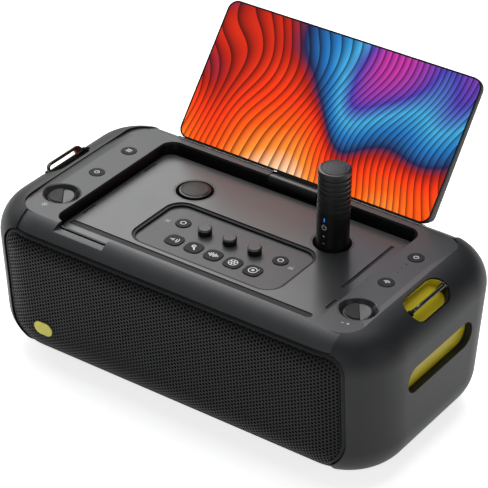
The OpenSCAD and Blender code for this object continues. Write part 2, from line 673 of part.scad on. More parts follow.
module tone_knob(k) translate([k * tone_pitch, tone_y, 0]) {
  translate([0, 0, panel_z + 0.2]) cylinder(h = tone_h - 1.2, r = tone_r);
  translate([0, 0, panel_z + tone_h - 1.01]) cylinder(h = 1, r1 = tone_r, r2 = tone_r - 1);
  translate([0, 0, gutter_z - 4]) cylinder(h = panel_z - gutter_z + 5, r = tone_stem_r);
}
module tone_knob_left() placed() color("#1f2021") tone_knob(-1);
module tone_knob_middle() placed() color("#1f2021") tone_knob(0);
module tone_knob_right() placed() color("#1f2021") tone_knob(1);

module ring_button(s) translate([s * ring_btn_x, ring_btn_y, gutter_z + key_travel + 0.1])
  cylinder(h = panel_z + key_h - gutter_z - key_travel - 0.1, r = ring_btn_r);
module ring_button_left() placed() color("#1f2021") ring_button(-1);
module ring_button_right() placed() color("#1f2021") ring_button(1);
module pad(k) translate([k * pad_pitch, pad_y, gutter_z + key_travel + 0.1])
  linear_extrude(panel_z + key_h - gutter_z - key_travel - 0.1) rrect(pad_w, pad_w, pad_r);
module pad_1() placed() color("#1f2021") pad(-2);
module pad_2() placed() color("#1f2021") pad(-1);
module pad_3() placed() color("#1f2021") pad(0);
module pad_4() placed() color("#1f2021") pad(1);
module pad_5() placed() color("#1f2021") pad(2);

// Frame of the screen: origin on the hinge axis, Z up the panel, Y towards its back
module at_screen() placed() translate([0, hinge_y, hinge_z]) rotate([-screen_lean, 0, 0]) children();
module screen_outline(inset) translate([0, screen_gap + screen_h / 2])
  rrect(screen_w - 2 * inset, screen_h - 2 * inset, screen_r - inset);
module upright(y0, y1) translate([0, y1, 0]) rotate([90, 0, 0]) linear_extrude(y1 - y0) children();
module screen_back() color("#3a3b3d") at_screen() difference() {
  intersection() {
    upright(-face_off + bezel_t, 30) screen_outline(0);
    translate([-big / 2, 0, 0]) rotate([90, 0, 90]) linear_extrude(big) polygon([
      [-1, screen_gap - 1],
      [screen_edge_t - face_off - 1, screen_gap - 1],
      [screen_edge_t - face_off, screen_gap],
      [screen_low_t - face_off, screen_gap + screen_bevel],
      [screen_top_t - face_off, screen_gap + screen_h],
      [screen_top_t - face_off, screen_gap + screen_h + 1],
      [-1, screen_gap + screen_h + 1]]);
  }
  upright(-5, -face_off + bezel_t + module_t + 0.1) translate([0, screen_gap + screen_h / 2])
    square([screen_w - 2 * module_in, screen_h - 2 * module_in], center = true);
}
module display_module() color("#0d1d3a") at_screen() upright(-face_off + bezel_t, -face_off + bezel_t + module_t)
  translate([0, screen_gap + screen_h / 2])
    square([screen_w - 2 * module_in - 0.3, screen_h - 2 * module_in - 0.3], center = true);
module screen_bezel() color("#2a2b2d") at_screen() difference() {
  upright(-face_off, -face_off + bezel_t) screen_outline(0);
  upright(-5, 5) screen_outline(bezel_w);
}
module display_glass() color("#c0562a") at_screen() upright(-face_off + 0.15, -face_off + bezel_t)
  screen_outline(bezel_w + 0.1);
module hinge_barrel() color("#2a2b2d") at_screen() difference() {
  union() {
    translate([-barrel_half, 0, 0]) rotate([0, 90, 0]) cylinder(h = 2 * barrel_half, r = barrel_r);
    translate([-barrel_half + 3, -face_off, 0]) cube([2 * barrel_half - 6, neck_t, screen_gap - 0.03]);
  }
  translate([-big / 2, 0, 0]) rotate([0, 90, 0]) cylinder(h = big, r = pin_r + run_gap);
}

// Microphone frame: origin on the axis at the very top
module at_mic(s) placed() translate([s * mic_x, mic_y, mic_top + (s > 0 ? mic_lift : 0)]) children();
module at_key() translate([0, 0, -head_len - 14]) rotate([90, 0, 0]) children();
module mic_body() difference() {
  union() {
    translate([0, 0, -mic_len]) cylinder(h = 1, r1 = mic_r - 1, r2 = mic_r);
    translate([0, 0, -mic_len + 1]) cylinder(h = mic_len - 1 - head_len - 3, r = mic_r);
    translate([0, 0, -head_len - 3]) cylinder(h = 2.95, r = mic_r - 1.4);
  }
  at_key() translate([0, 0, mic_r - 3]) cylinder(h = 10, r = 3.4);
}
module mic_head() intersection() {
  union() {
    translate([0, 0, -head_len]) cylinder(h = head_len, r = mic_r - 1.5);
    translate([0, 0, -head_len]) cylinder(h = 4, r = mic_r);
    for (k = [0:6]) translate([0, 0, -head_len + 6.2 + 5.2 * k]) cylinder(h = k < 6 ? 3.2 : 9, r = mic_r);
  }
  translate([0, 0, -3.3 * mic_r]) sphere(3.3 * mic_r);
  translate([0, 0, -head_len]) cylinder(h = head_len + 1, r = mic_r + 1);
}
module mic_key() at_key() translate([0, 0, mic_r - 2.9]) cylinder(h = 2.75, r = 3.3);
module mic_left_body() color("#1d1e20") at_mic(-1) mic_body();
module mic_left_head() color("#151617") at_mic(-1) mic_head();
module mic_left_button() color("#26282a") at_mic(-1) mic_key();
module mic_right_body() color("#1d1e20") at_mic(1) mic_body();
module mic_right_head() color("#151617") at_mic(1) mic_head();
module mic_right_button() color("#26282a") at_mic(1) mic_key();

module main_board() placed() color("#1f5a34") translate([0, -28, tray_z - board_gap - 1.6]) {
  translate([-board_w / 2, -board_d / 2, 0]) cube([board_w, board_d, 1.6]);
  for (sx = [-1, 1], sy = [-1, 1]) translate([sx * (board_w / 2 - 6), sy * (board_d / 2 - 6), 1])
    cylinder(h = board_gap + 0.58, r = 3);
}
module battery_pack() placed() color("#2f4f8f")
  translate([-battery_l / 2, 4, foot_h + core_step + core_wall + 0.1])
    cube([battery_l, battery_d - 10, battery_h]);

deck_frame();
end_cap_left();
end_cap_right();
rear_cover();
bottom_pan();
rubber_feet();
grille();
badge();
baffle();
woofer_left();
woofer_right();
recess_tray();
recess_floor();
control_panel();
bore_collars();
mic_wells();
well_contacts();
hinge_bracket();
hinge_pin();
knob_dishes();
strip_lamps();
panel_lamps();
slot_liner_left();
slot_liner_right();
ring_lugs();
grip_plate_left();
grip_plate_right();
main_board();
battery_pack();
screen_back();
screen_bezel();
display_glass();
display_module();
hinge_barrel();
mic_left_body();
mic_left_head();
mic_left_button();
mic_right_body();
mic_right_head();
mic_right_button();
volume_knob_left();
volume_knob_right();
strip_button_front_left();
strip_button_rear_left();
strip_button_front_right();
strip_button_rear_right();
tone_knob_left();
tone_knob_middle();
tone_knob_right();
ring_button_left();
ring_button_right();
pad_1();
pad_2();
pad_3();
pad_4();
pad_5();
carry_ring_left();
carry_ring_right();
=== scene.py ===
import bpy, bmesh, json, math
from mathutils import Matrix, Vector
from mathutils.bvhtree import BVHTree


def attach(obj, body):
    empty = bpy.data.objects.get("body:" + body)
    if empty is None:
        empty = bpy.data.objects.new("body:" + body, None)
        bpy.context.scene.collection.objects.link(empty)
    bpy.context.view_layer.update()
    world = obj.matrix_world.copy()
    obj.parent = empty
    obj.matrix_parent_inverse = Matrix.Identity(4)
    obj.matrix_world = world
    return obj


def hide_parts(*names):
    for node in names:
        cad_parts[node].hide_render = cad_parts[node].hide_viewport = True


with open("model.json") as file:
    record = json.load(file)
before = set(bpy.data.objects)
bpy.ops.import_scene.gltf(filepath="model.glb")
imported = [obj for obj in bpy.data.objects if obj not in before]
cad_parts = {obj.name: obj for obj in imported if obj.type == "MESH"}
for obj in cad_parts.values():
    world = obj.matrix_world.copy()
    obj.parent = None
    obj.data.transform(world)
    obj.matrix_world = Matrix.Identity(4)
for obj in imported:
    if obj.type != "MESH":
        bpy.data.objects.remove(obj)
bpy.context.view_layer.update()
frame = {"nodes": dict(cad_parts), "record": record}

# Camera: a long lens 35 degrees to the right of the front and 32 degrees above the table, as the
# product shot was taken. Metres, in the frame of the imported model.
turn, tilt, roll = math.radians(34.61), math.radians(32.22), math.radians(0.84)
back = Vector((math.sin(turn) * math.cos(tilt), -math.cos(turn) * math.cos(tilt), math.sin(tilt)))
flat = Vector((math.cos(turn), math.sin(turn), 0))
rise = Vector((-math.sin(turn) * math.sin(tilt), math.cos(turn) * math.sin(tilt), math.cos(tilt)))
right = math.cos(roll) * flat + math.sin(roll) * rise
up = math.cos(roll) * rise - math.sin(roll) * flat
shot = bpy.data.cameras.new("shot")
shot.lens, shot.sensor_width, shot.clip_start, shot.clip_end = 177.05, 36, 0.1, 60


def placed(name, data):
    """A new object in the scene that holds a lens, a lamp or a mesh."""
    made = bpy.data.objects.new(name, data)
    bpy.context.scene.collection.objects.link(made)
    return made


shot_object = placed("shot", shot)
place = Vector((1.09698, -1.618969, 1.35253))
shot_object.matrix_world = Matrix.Translation(place) @ Matrix((right, up, back)).transposed().to_4x4()
bpy.context.scene.camera = shot_object
bpy.context.scene.view_settings.view_transform = "Standard"

# Studio: a white table that keeps the speaker's soft shadow, and a white room behind it. The
# table's white is what the camera and mirror-like surfaces see; it adds no light to the speaker.
def bare_material(name):
    """A new material with only a shader and its output, ready to be wired."""
    made = bpy.data.materials.new(name)
    made.use_nodes = True
    nodes, links = made.node_tree.nodes, made.node_tree.links
    nodes.clear()
    shader = nodes.new("ShaderNodeBsdfPrincipled")
    links.new(shader.outputs[0], nodes.new("ShaderNodeOutputMaterial").inputs[0])
    return made, nodes, links, shader


def maths(operation, *values):
    """A sum in the node tree being wired; each value is a number or the output of a node."""
    node = nodes.new("ShaderNodeMath")
    node.operation = operation
    for socket, value in zip(node.inputs, values):
        if isinstance(value, (int, float)):
            socket.default_value = value
        else:
            links.new(value, socket)
    return node.outputs[0]


def fill(node, **settings):
    """Sets inputs of a node by their names, in which a line stands for a gap."""
    for label, value in settings.items():
        node.inputs[label.replace("_", " ")].default_value = value
    return node


TABLE_GLOW = 0.74  # what the camera sees beside the lamps' own light, so that the table comes out white
white, nodes, links, shader = bare_material("table_white")
path = nodes.new("ShaderNodeLightPath")
seen = maths("MAXIMUM", path.outputs["Is Camera Ray"], path.outputs["Is Glossy Ray"])
seen = maths("MAXIMUM", seen, path.outputs["Is Transmission Ray"])
links.new(maths("MULTIPLY", seen, TABLE_GLOW), shader.inputs["Emission Strength"])
fill(shader, Base_Color=(0.82, 0.82, 0.82, 1), Roughness=0.9, Specular_IOR_Level=0.1,
     Emission_Color=(1, 1, 1, 1))
table = bpy.data.meshes.new("table")
table.from_pydata([(-12, -12, 0), (12, -12, 0), (12, 12, 0), (-12, 12, 0)], [], [(0, 1, 2, 3)])
table.materials.append(white)
placed("table", table)

room = bpy.data.worlds.new("room")
room.use_nodes = True
bpy.context.scene.world = room
nodes, links = room.node_tree.nodes, room.node_tree.links
nodes.clear()
path = nodes.new("ShaderNodeLightPath")
mixed = nodes.new("ShaderNodeMixShader")
seen = maths("MAXIMUM", path.outputs["Is Camera Ray"], path.outputs["Is Transmission Ray"])
links.new(seen, mixed.inputs[0])
for k, (colour, strength) in enumerate((((0.93, 0.96, 1.0, 1), 0.1), ((1, 1, 1, 1), 1.0))):
    wall = fill(nodes.new("ShaderNodeBackground"), Color=colour, Strength=strength)
    links.new(wall.outputs[0], mixed.inputs[k + 1])
links.new(mixed.outputs[0], nodes.new("ShaderNodeOutputWorld").inputs[0])

AIM = Vector((0, 0, 0.1))  # every lamp faces the middle of the speaker
for name, place, size, watts in (
        ("left_key", (-1.4, 1.3, 1.4), (1.2, 1.2), 18), ("upper_left", (-1.15, 0.6, 1.95), (0.9, 0.9), 13),
        ("overhead", (0.0, 0.35, 2.3), (1.6, 1.6), 26), ("left_fill", (-1.9, 0.1, 1.2), (1.2, 1.2), 8),
        ("front_fill", (0.6, -2.6, 1.3), (1.6, 0.9), 10), ("right_fill", (2.2, -0.2, 0.9), (1.0, 1.0), 4)):
    lamp = bpy.data.lights.new(name, "AREA")
    lamp.shape, lamp.size, lamp.size_y, lamp.energy = "RECTANGLE", size[0], size[1], watts
    facing = (Vector(place) - AIM).to_track_quat("Z", "Y").to_matrix().to_4x4()
    placed(name, lamp).matrix_world = Matrix.Translation(place) @ facing

# End caps: two shells of soft-touch moulded plastic that close the case on the left and right. Each
# has a slot in its shoulder for a carry ring, and a grip slot with a raised rim inside its end.
SHIFT = 38.44884  # the model's zero lies this far behind the middle of the case; millimetres from here on
DECK = 162.5  # height of the deck
CREASE = 97.98749  # from the middle of the case to the front and the rear edge of the deck
SEAM = 178  # from the middle of the case to the seam between a cap and the frame


def at(x, y, z):
    """A point of the case, in millimetres, as a point of the model, in metres."""
    return Vector((x * 0.001, (y - SHIFT) * 0.001, z * 0.001))


RINGS = {  # corner: (centre x, centre y, centre z, radius in plan, radius of the edge)
    "top": [(160, -58.5, 130, 65, 35.5), (167, 65.5, 130, 58, 35.5)],
    "low": [(160, -50.8, 46, 65, 43), (167, 53.8, 46, 58, 43)]}


def form_grid(inset, around=30, over=26):
    """Points and true normals of the speaker's outer form, drawn in by inset, column by column."""
    columns = []
    for quarter in range(4):  # right front, right back, left back, left front
        side = 1 if quarter < 2 else -1
        end = 0 if quarter in (0, 3) else 1
        for k in range(around + 1):
            turned = math.radians(-90 + 90 * quarter + 90 * k / around)
            h = (math.cos(turned), math.sin(turned))
            reach = []
            for level in ("top", "low"):
                cx, cy, cz, plan, edge = RINGS[level][end]
                reach.append(side * cx * h[0] + cy * h[1] + plan - edge)
            narrow = reach[0] - reach[1]
            drop = RINGS["top"][0][2] - RINGS["low"][0][2]
            swell = RINGS["low"][0][4] - RINGS["top"][0][4]
            split = math.asin(swell / math.hypot(narrow, drop)) - math.atan2(narrow, drop)
            column = []
            for level, start, stop in (("top", math.pi / 2, split), ("low", split, -math.pi / 2)):
                cx, cy, cz, plan, edge = RINGS[level][end]
                for m in range(over + 1):
                    t = start + (stop - start) * m / over
                    n = Vector((h[0] * math.cos(t), h[1] * math.cos(t), math.sin(t)))
                    p = (side * cx + (plan - edge) * h[0] + (edge - inset) * n.x,
                         cy + (plan - edge) * h[1] + (edge - inset) * n.y, cz + (edge - inset) * n.z)
                    column.append((at(*p), n))
            columns.append(column)
    return columns


def form_solid(inset):
    """The whole outer form as one solid, drawn in by inset."""
    columns = form_grid(inset)
    many, deep = len(columns), len(columns[0])
    verts = [p for column in columns for p, n in column]
    faces = [(c * deep + m, c * deep + m + 1, ((c + 1) % many) * deep + m + 1, ((c + 1) % many) * deep + m)
             for c in range(many) for m in range(deep - 1)]
    faces.append(tuple(c * deep for c in range(many)))
    faces.append(tuple(c * deep + deep - 1 for c in reversed(range(many))))
    made = bpy.data.meshes.new("form")
    made.from_pydata(verts, [], faces)
    return made


def form_tree(inset):
    """A search tree on the form, and the true normal at each corner of its triangles."""
    columns = form_grid(inset)
    many, deep = len(columns), len(columns[0])
    verts = [p for column in columns for p, n in column]
    normals = [n for column in columns for p, n in column]
    tris = []
    for c in range(many):
        for m in range(deep - 1):
            a, b = c * deep + m, ((c + 1) % many) * deep + m
            tris += [(a, a + 1, b + 1), (a, b + 1, b)]
    top = [c * deep for c in range(many)]
    tris += [(top[0], top[k], top[k + 1]) for k in range(1, many - 1)]
    return BVHTree.FromPolygons(verts, tris), verts, normals, tris


def rounded(x0, x1, y0, y1, r, steps=12):
    """Outline of a rounded rectangle, anticlockwise."""
    made = []
    for cx, cy, start in ((x1 - r, y0 + r, -90), (x1 - r, y1 - r, 0),
                          (x0 + r, y1 - r, 90), (x0 + r, y0 + r, 180)):
        for k in range(steps + 1):
            t = math.radians(start + 90 * k / steps)
            made.append((cx + r * math.cos(t), cy + r * math.sin(t)))
    return made


def disc(x, y, r, steps=64):
    turns = [2 * math.pi * k / steps for k in range(steps)]
    return [(x + r * math.cos(t), y + r * math.sin(t)) for t in turns]


def prism(outline, low, high, place=None):
    """Solid of an outline, from low to high along its own third axis, then placed; millimetres."""
    place = place or Matrix.Identity(4)
    made = bpy.data.meshes.new("prism")
    many = len(outline)
    verts = [at(*(place @ Vector((x, y, z)))) for z in (low, high) for x, y in outline]
    faces = [tuple(reversed(range(many))), tuple(range(many, 2 * many))]
    faces += [(k, (k + 1) % many, many + (k + 1) % many, many + k) for k in range(many)]
    made.from_pydata(verts, [], faces)
    return made


def block(x0, x1, y0, y1, z0, z1):
    return prism([(x0, y0), (x1, y0), (x1, y1), (x0, y1)], z0, z1)


def carve(base, steps):
    """Applies (operation, mesh) steps to a mesh, one after the other, and gives a plain mesh back."""
    holder = placed("carve", base)
    tools = []
    for operation, mesh in steps:
        tool = placed("tool", mesh)
        tools.append(tool)
        cut = holder.modifiers.new("cut", "BOOLEAN")
        cut.operation, cut.object, cut.solver = operation, tool, "MANIFOLD"
    done = bpy.data.meshes.new_from_object(holder.evaluated_get(bpy.context.evaluated_depsgraph_get()))
    for used in tools + [holder]:
        bpy.data.objects.remove(used)
    return done


def soften(mesh, width, keep=None):
    """Merges the corners, joins flat faces, and rounds the sharp edges by width in millimetres."""
    bm = bmesh.new()
    bm.from_mesh(mesh)
    bmesh.ops.remove_doubles(bm, verts=bm.verts, dist=2e-6)
    bmesh.ops.dissolve_limit(bm, angle_limit=math.radians(0.6), verts=bm.verts, edges=bm.edges,
                             delimit={"NORMAL"})
    if width:
        sharp = [e for e in bm.edges if len(e.link_faces) == 2 and e.calc_face_angle(0) > math.radians(32)]
        if keep:
            sharp = [e for e in sharp if keep((e.verts[0].co + e.verts[1].co) * 500 + Vector((0, SHIFT, 0)))]
        bmesh.ops.bevel(bm, geom=sharp, offset=width * 0.001, segments=2, profile=0.5, affect="EDGES",
                        clamp_overlap=False, loop_slide=True)
        bmesh.ops.remove_doubles(bm, verts=bm.verts, dist=2e-6)
    bm.to_mesh(mesh)
    bm.free()
    mesh.shade_smooth()
    return even_normals(mesh)


def even_normals(mesh):
    """Shades each corner by the faces around it in proportion to their size, so wide flats stay flat."""
    least = math.cos(math.radians(38))
    around = [[] for _ in mesh.vertices]
    for polygon in mesh.polygons:
        for vertex in polygon.vertices:
            around[vertex].append(polygon.index)
    normals = [p.normal.copy() for p in mesh.polygons]
    areas = [p.area for p in mesh.polygons]
    custom = [None] * len(mesh.loops)
    for polygon in mesh.polygons:
        own = normals[polygon.index]
        for loop in polygon.loop_indices:
            total = Vector()
            for other in around[mesh.loops[loop].vertex_index]:
                if own.dot(normals[other]) > least:
                    total += normals[other] * areas[other]
            custom[loop] = tuple(total.normalized()) if total.length > 0 else tuple(own)
    mesh.normals_split_custom_set(custom)
    return mesh


def true_normals(mesh, insets):
    """Gives the faces that lie on the outer form the form's own normals, so no facet shows."""
    trees = [form_tree(inset) for inset in insets]
    normals = [tuple(c.vector) for c in mesh.corner_normals]
    for polygon in mesh.polygons:
        for loop in polygon.loop_indices:
            place = mesh.vertices[mesh.loops[loop].vertex_index].co
            for tree, verts, true, tris in trees:
                hit, face_normal, index, distance = tree.find_nearest(place, 0.00012)
                if hit is None:
                    continue
                a, b, c = tris[index]
                weights = barycentric(hit, verts[a], verts[b], verts[c])
                n = (true[a] * weights[0] + true[b] * weights[1] + true[c] * weights[2]).normalized()
                if n.dot(polygon.normal) > 0.975:
                    normals[loop] = tuple(n)
                    break
    mesh.normals_split_custom_set(normals)


def barycentric(p, a, b, c):
    ab, ac, ap = b - a, c - a, p - a
    d00, d01, d11, d20, d21 = ab.dot(ab), ab.dot(ac), ac.dot(ac), ap.dot(ab), ap.dot(ac)
    under = d00 * d11 - d01 * d01
    if abs(under) < 1e-20:
        return 1, 0, 0
    v, w = (d11 * d20 - d01 * d21) / under, (d00 * d21 - d01 * d20) / under
    return 1 - v - w, v, w


def piece(name, mesh, material, body, *replaced, slot=None):
    """One finished part: its mesh and material, the body it rides on, the nodes it stands for."""
    mesh.name = name
    mesh.materials.clear()
    for one in (material if isinstance(material, (list, tuple)) else [material]):
        mesh.materials.append(one)
    made = placed(name, mesh)
    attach(made, body)
    if replaced:
        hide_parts(*replaced)
    return made


def scaled(vector, amount):
    """A colour or a vector times an amount, in the node tree being wired."""
    node = nodes.new("ShaderNodeVectorMath")
    node.operation = "SCALE"
    links.new(vector, node.inputs[0])
    links.new(amount, node.inputs["Scale"])
    return node.outputs[0]


grain = bpy.data.node_groups.new("moulded_grain", "ShaderNodeTree")
for label, kind, default in (
        ("Colour", "NodeSocketColor", (0.5, 0.5, 0.5, 1)), ("Mottle", "NodeSocketFloat", 0.06),
        ("Roughness", "NodeSocketFloat", 0.5), ("Sheen spread", "NodeSocketFloat", 0.06),
        ("Grain size", "NodeSocketFloat", 900.0), ("Grain depth", "NodeSocketFloat", 0.15)):
    grain.interface.new_socket(label, in_out="INPUT", socket_type=kind).default_value = default
for label, kind in (("Colour", "Color"), ("Roughness", "Float"), ("Normal", "Vector")):
    grain.interface.new_socket(label, in_out="OUTPUT", socket_type="NodeSocket" + kind)
nodes, links = grain.nodes, grain.links
given, gives = nodes.new("NodeGroupInput"), nodes.new("NodeGroupOutput")
where = nodes.new("ShaderNodeTexCoord")
cloud = fill(nodes.new("ShaderNodeTexNoise"), Scale=38.0, Detail=3.0)
links.new(where.outputs["Object"], cloud.inputs["Vector"])
centred = maths("SUBTRACT", cloud.outputs["Fac"], 0.5)
mottled = maths("MULTIPLY_ADD", centred, given.outputs["Mottle"], 1.0)
links.new(scaled(given.outputs["Colour"], mottled), gives.inputs["Colour"])
dull = maths("MULTIPLY_ADD", centred, given.outputs["Sheen spread"], given.outputs["Roughness"])
links.new(dull, gives.inputs["Roughness"])
speck = fill(nodes.new("ShaderNodeTexNoise"), Detail=2.0)
links.new(where.outputs["Object"], speck.inputs["Vector"])
links.new(given.outputs["Grain size"], speck.inputs["Scale"])
relief = fill(nodes.new("ShaderNodeBump"), Distance=0.0002)
links.new(given.outputs["Grain depth"], relief.inputs["Strength"])
links.new(speck.outputs["Fac"], relief.inputs["Height"])
links.new(relief.outputs[0], gives.inputs["Normal"])


def hexa(text):
    """Linear colour of a hex code."""
    values = [int(text[k:k + 2], 16) / 255 for k in (0, 2, 4)]
    return [v / 12.92 if v <= 0.04045 else ((v + 0.055) / 1.055) ** 2.4 for v in values] + [1]


def moulded(name, colour, rough, mottle=0.06, spread=0.06, size=900.0, depth=0.12, metal=0.0, level=0.5):
    """A moulded or cast surface: a colour with faint clouds in it, and a fine grain."""
    made, nodes, links, shader = bare_material(name)
    group = nodes.new("ShaderNodeGroup")
    group.node_tree = grain
    fill(group, Colour=hexa(colour), Mottle=mottle, Roughness=rough, Sheen_spread=spread, Grain_size=size,
         Grain_depth=depth)
    fill(shader, Metallic=metal, Specular_IOR_Level=level)
    for label, socket in (("Colour", "Base Color"), ("Roughness", "Roughness"), ("Normal", "Normal")):
        links.new(group.outputs[label], shader.inputs[socket])
    return made


half_turn = Matrix.Rotation(math.radians(90), 4, "X")  # an outline in X and Z, pushed along -Y


def grille_outline(gap):
    """Opening for the grille in the front of the case, in X and Z, drawn in by gap."""
    w, z0, z1, low_r, top_r = 194 - gap, 14.5 + gap, 150 - gap, 40 - gap, 20 - gap
    made = []
    for cx, cz, r, start in ((w - low_r, z0 + low_r, low_r, -90), (w - top_r, z1 - top_r, top_r, 0),
                             (-w + top_r, z1 - top_r, top_r, 90), (-w + low_r, z0 + low_r, low_r, 180)):
        for k in range(17):
            t = math.radians(start + 90 * k / 16)
            made.append((cx + r * math.cos(t), cz + r * math.sin(t)))
    return made


def grille_space(gap):
    return prism(grille_outline(gap), 0, 600, half_turn)


def stadium(length, width, steps=16):
    """Slot outline, long along its second axis."""
    r = width / 2
    made = []
    for cy, start in ((length / 2 - r, 0), (-length / 2 + r, 180)):
        for k in range(steps + 1):
            t = math.radians(start + 180 * k / steps)
            made.append((r * math.cos(t), cy + r * math.sin(t)))
    return made


def shoulder(s):
    """Frame of a shoulder slot: origin on the surface, third axis along the slot's own axis."""
    lean = math.radians(33)
    return (Matrix.Translation((s * (189.5 + 35.5 * math.sin(lean)), 0, 130 + 35.5 * math.cos(lean)))
            @ Matrix.Rotation(s * lean, 4, "Y"))


def end_side(s):
    """Frame of a grip slot: origin just outside the end, third axis inwards."""
    return Matrix.Translation((s * 225, 1.7, 100.9)) @ Matrix.Rotation(-s * math.radians(90), 4, "Y")


rubber_grey = moulded("soft_touch_grey", "1e1f21", 0.5, mottle=0.08, size=1400.0, depth=0.14, level=0.33)
hinge_gap = block(-28.8, 28.8, 83.087, 103.55, 147.5, 190)
for s, side in ((-1, "left"), (1, "right")):
    wall = carve(form_solid(0), [
        ("DIFFERENCE", form_solid(3.5)),
        ("UNION", prism(stadium(116.8, 31.8), 1, 8, end_side(s))),
        ("DIFFERENCE", block(*((-400, SEAM) if s > 0 else (-SEAM, 400)), -400, 400, -50, 400)),
        ("DIFFERENCE", prism(rounded(-191.2, 191.2, -CREASE - 0.2, CREASE + 0.2, 22.2, 16), 159.3, 400)),
        ("DIFFERENCE", grille_space(0)),
        ("DIFFERENCE", prism(stadium(63, 28), -17.5, 20, shoulder(s))),
        ("DIFFERENCE", prism(stadium(112, 27), -2, 20, end_side(s)))])
    soften(wall, 0.6, keep=lambda p: abs(p.x) > SEAM + 0.6 and not (p.z > 154 and abs(p.x) < 194))
    true_normals(wall, (0,))
    piece("end_cap_shell_" + side, wall, rubber_grey, "cabinet", "end_cap_" + side, slot="cap")

# Deck frame: satin grey plastic, moulded as one flat deck with a lip that rolls down to the grille. It
# has low ridges along the caps, a finger notch in the lip, and openings for recess, knobs and keys.
satin_grey = moulded("satin_grey", "343537", 0.42, mottle=0.03, depth=0.05, level=0.4)
RIDGE = ((0, 1.82), (3.2, 0.83), (8, 0.02))  # distance in from the cap, and height
DISH_X, DISH_Y, DISH_R = 169.2, -55, 18.8
KEY_X, KEY_FRONT, KEY_REAR, KEY_R = 166.6, -3.6, 47.9, 7.9
front_shell = carve(form_solid(1.5), [
    ("DIFFERENCE", form_solid(4.5)),
    ("INTERSECT", block(0.2 - SEAM, SEAM - 0.2, -400, -CREASE + 4, 100, DECK)),
    ("DIFFERENCE", block(-400, 400, -400, -20, -1, 150))])
top_plate = prism(rounded(-191, 191, -CREASE + 0.3, CREASE, 22, 16), 159.5, DECK)
steps = [("UNION", front_shell), ("UNION", block(-140, -78, -CREASE - 7.5, -CREASE + 2.8, 155.5, 157.5))]
for s in (-1, 1):
    verts = []
    for y, full in ((22 - CREASE, 0), (54 - CREASE, 1), (CREASE - 54, 1), (CREASE - 22, 0)):
        crest = [(inward, height * full - 0.02) for inward, height in RIDGE]
        verts += [at(s * (191 - inward), y, DECK + z) for inward, z in [(0, -0.5)] + crest + [(8, -0.5)]]
    faces = [(0, 1, 2, 3, 4), (19, 18, 17, 16, 15)] + [
        (5 * row + k, 5 * row + 5 + k, 5 * row + 5 + (k + 1) % 5, 5 * row + (k + 1) % 5)
        for row in range(3) for k in range(5)]
    ridge = bpy.data.meshes.new("ridge")
    ridge.from_pydata(verts, [], faces if s < 0 else [face[::-1] for face in faces])
    steps.append(("UNION", ridge))
steps += [("DIFFERENCE", prism(rounded(-148.3, 148.3, -CREASE + 3.2, CREASE - 6.9, 14), 150, 180)),
          ("DIFFERENCE", block(-138, -80, -300, -CREASE + 4.2, 157.5, 180)),
          ("DIFFERENCE", block(-137.4, -80.6, -CREASE - 1.6, -CREASE + 1.8, 150, 158)),
          ("DIFFERENCE", hinge_gap)]
for s in (-1, 1):
    steps.append(("DIFFERENCE", prism(disc(s * DISH_X, DISH_Y, DISH_R), 150, 180)))
    for y in (KEY_FRONT, KEY_REAR):
        steps.append(("DIFFERENCE", prism(disc(s * KEY_X, y, KEY_R), 150, 180)))
for k in range(3):
    steps.append(("DIFFERENCE", prism(disc(165.3, 32.9 - 8 * k, 0.85, 16), 150, 180)))
deck = soften(carve(top_plate, steps), 0.4, keep=lambda p: (abs(p.x) < 182.4 and abs(p.y) < CREASE - 0.4
                                                            and not (-141 < p.x < -77 and p.y < -CREASE + 6)))
true_normals(deck, (1.5,))
piece("deck_shell", deck, satin_grey, "cabinet", "deck_frame", slot="shell")

# Rear cover and bottom pan: plain moulded shells with the outer form of the case, screwed to the deck
# frame between the two caps. The pan is a rougher, darker plastic.
pan_grey = moulded("pan_grey", "1b1c1d", 0.55, mottle=0.08, size=1100.0, depth=0.2)
rear = carve(form_solid(1.5), [
    ("DIFFERENCE", form_solid(4.5)),
    ("INTERSECT", block(0.2 - SEAM, SEAM - 0.2, CREASE + 0.2, 400, 40, DECK)), ("DIFFERENCE", hinge_gap)])
pan = carve(form_solid(1.5), [
    ("DIFFERENCE", form_solid(4.5)),
    ("INTERSECT", block(0.2 - SEAM, SEAM - 0.2, -400, 400, -1, 39.8)), ("DIFFERENCE", grille_space(0))])
for name, mesh, material, node, slot in (("rear_shell", rear, satin_grey, "rear_cover", "shell"),
                                         ("bottom_shell", pan, pan_grey, "bottom_pan", "cap")):
    soften(mesh, 0)
    true_normals(mesh, (1.5,))
    piece(name, mesh, material, "cabinet", node, slot=slot)

# Rest strip: soft black rubber, glued along the rear shoulder under the open screen, on both sides of the
# hinge; the lower edge of the screen hangs just over it. Its dark plastic fills the gap there as painted
# shade, standing for the shade in that gap.
rest_strip = carve(form_solid(-0.25), [
    ("DIFFERENCE", form_solid(0.3)), ("INTERSECT", block(-144, 144, 99.4, 101, 150, 170)),
    ("DIFFERENCE", hinge_gap)])
soften(rest_strip, 0)
# Painted shade: the dark pan plastic stands for the shade in the gap under the screen.
piece("rest_strip", rest_strip, pan_grey, "cabinet", "rear_cover")

# Grille: a steel sheet, punched with staggered round holes, painted black and bent round the front
# corners, on a black carrier that closes the holes from behind, with a plain border all round.
grille_black = moulded("grille_black", "0c0d0e", 0.5, mottle=0.1, size=1500.0, depth=0.1, level=0.2)
carrier_black = moulded("carrier_black", "070708", 0.8, mottle=0.2, size=700.0, depth=0.3, level=0.2)
carrier = carve(form_solid(2.9), [("DIFFERENCE", form_solid(3.4)), ("INTERSECT", grille_space(0.2))])
soften(carrier, 0)
true_normals(carrier, (2.9,))
piece("grille_carrier", carrier, carrier_black, "cabinet", "grille", slot="grille")

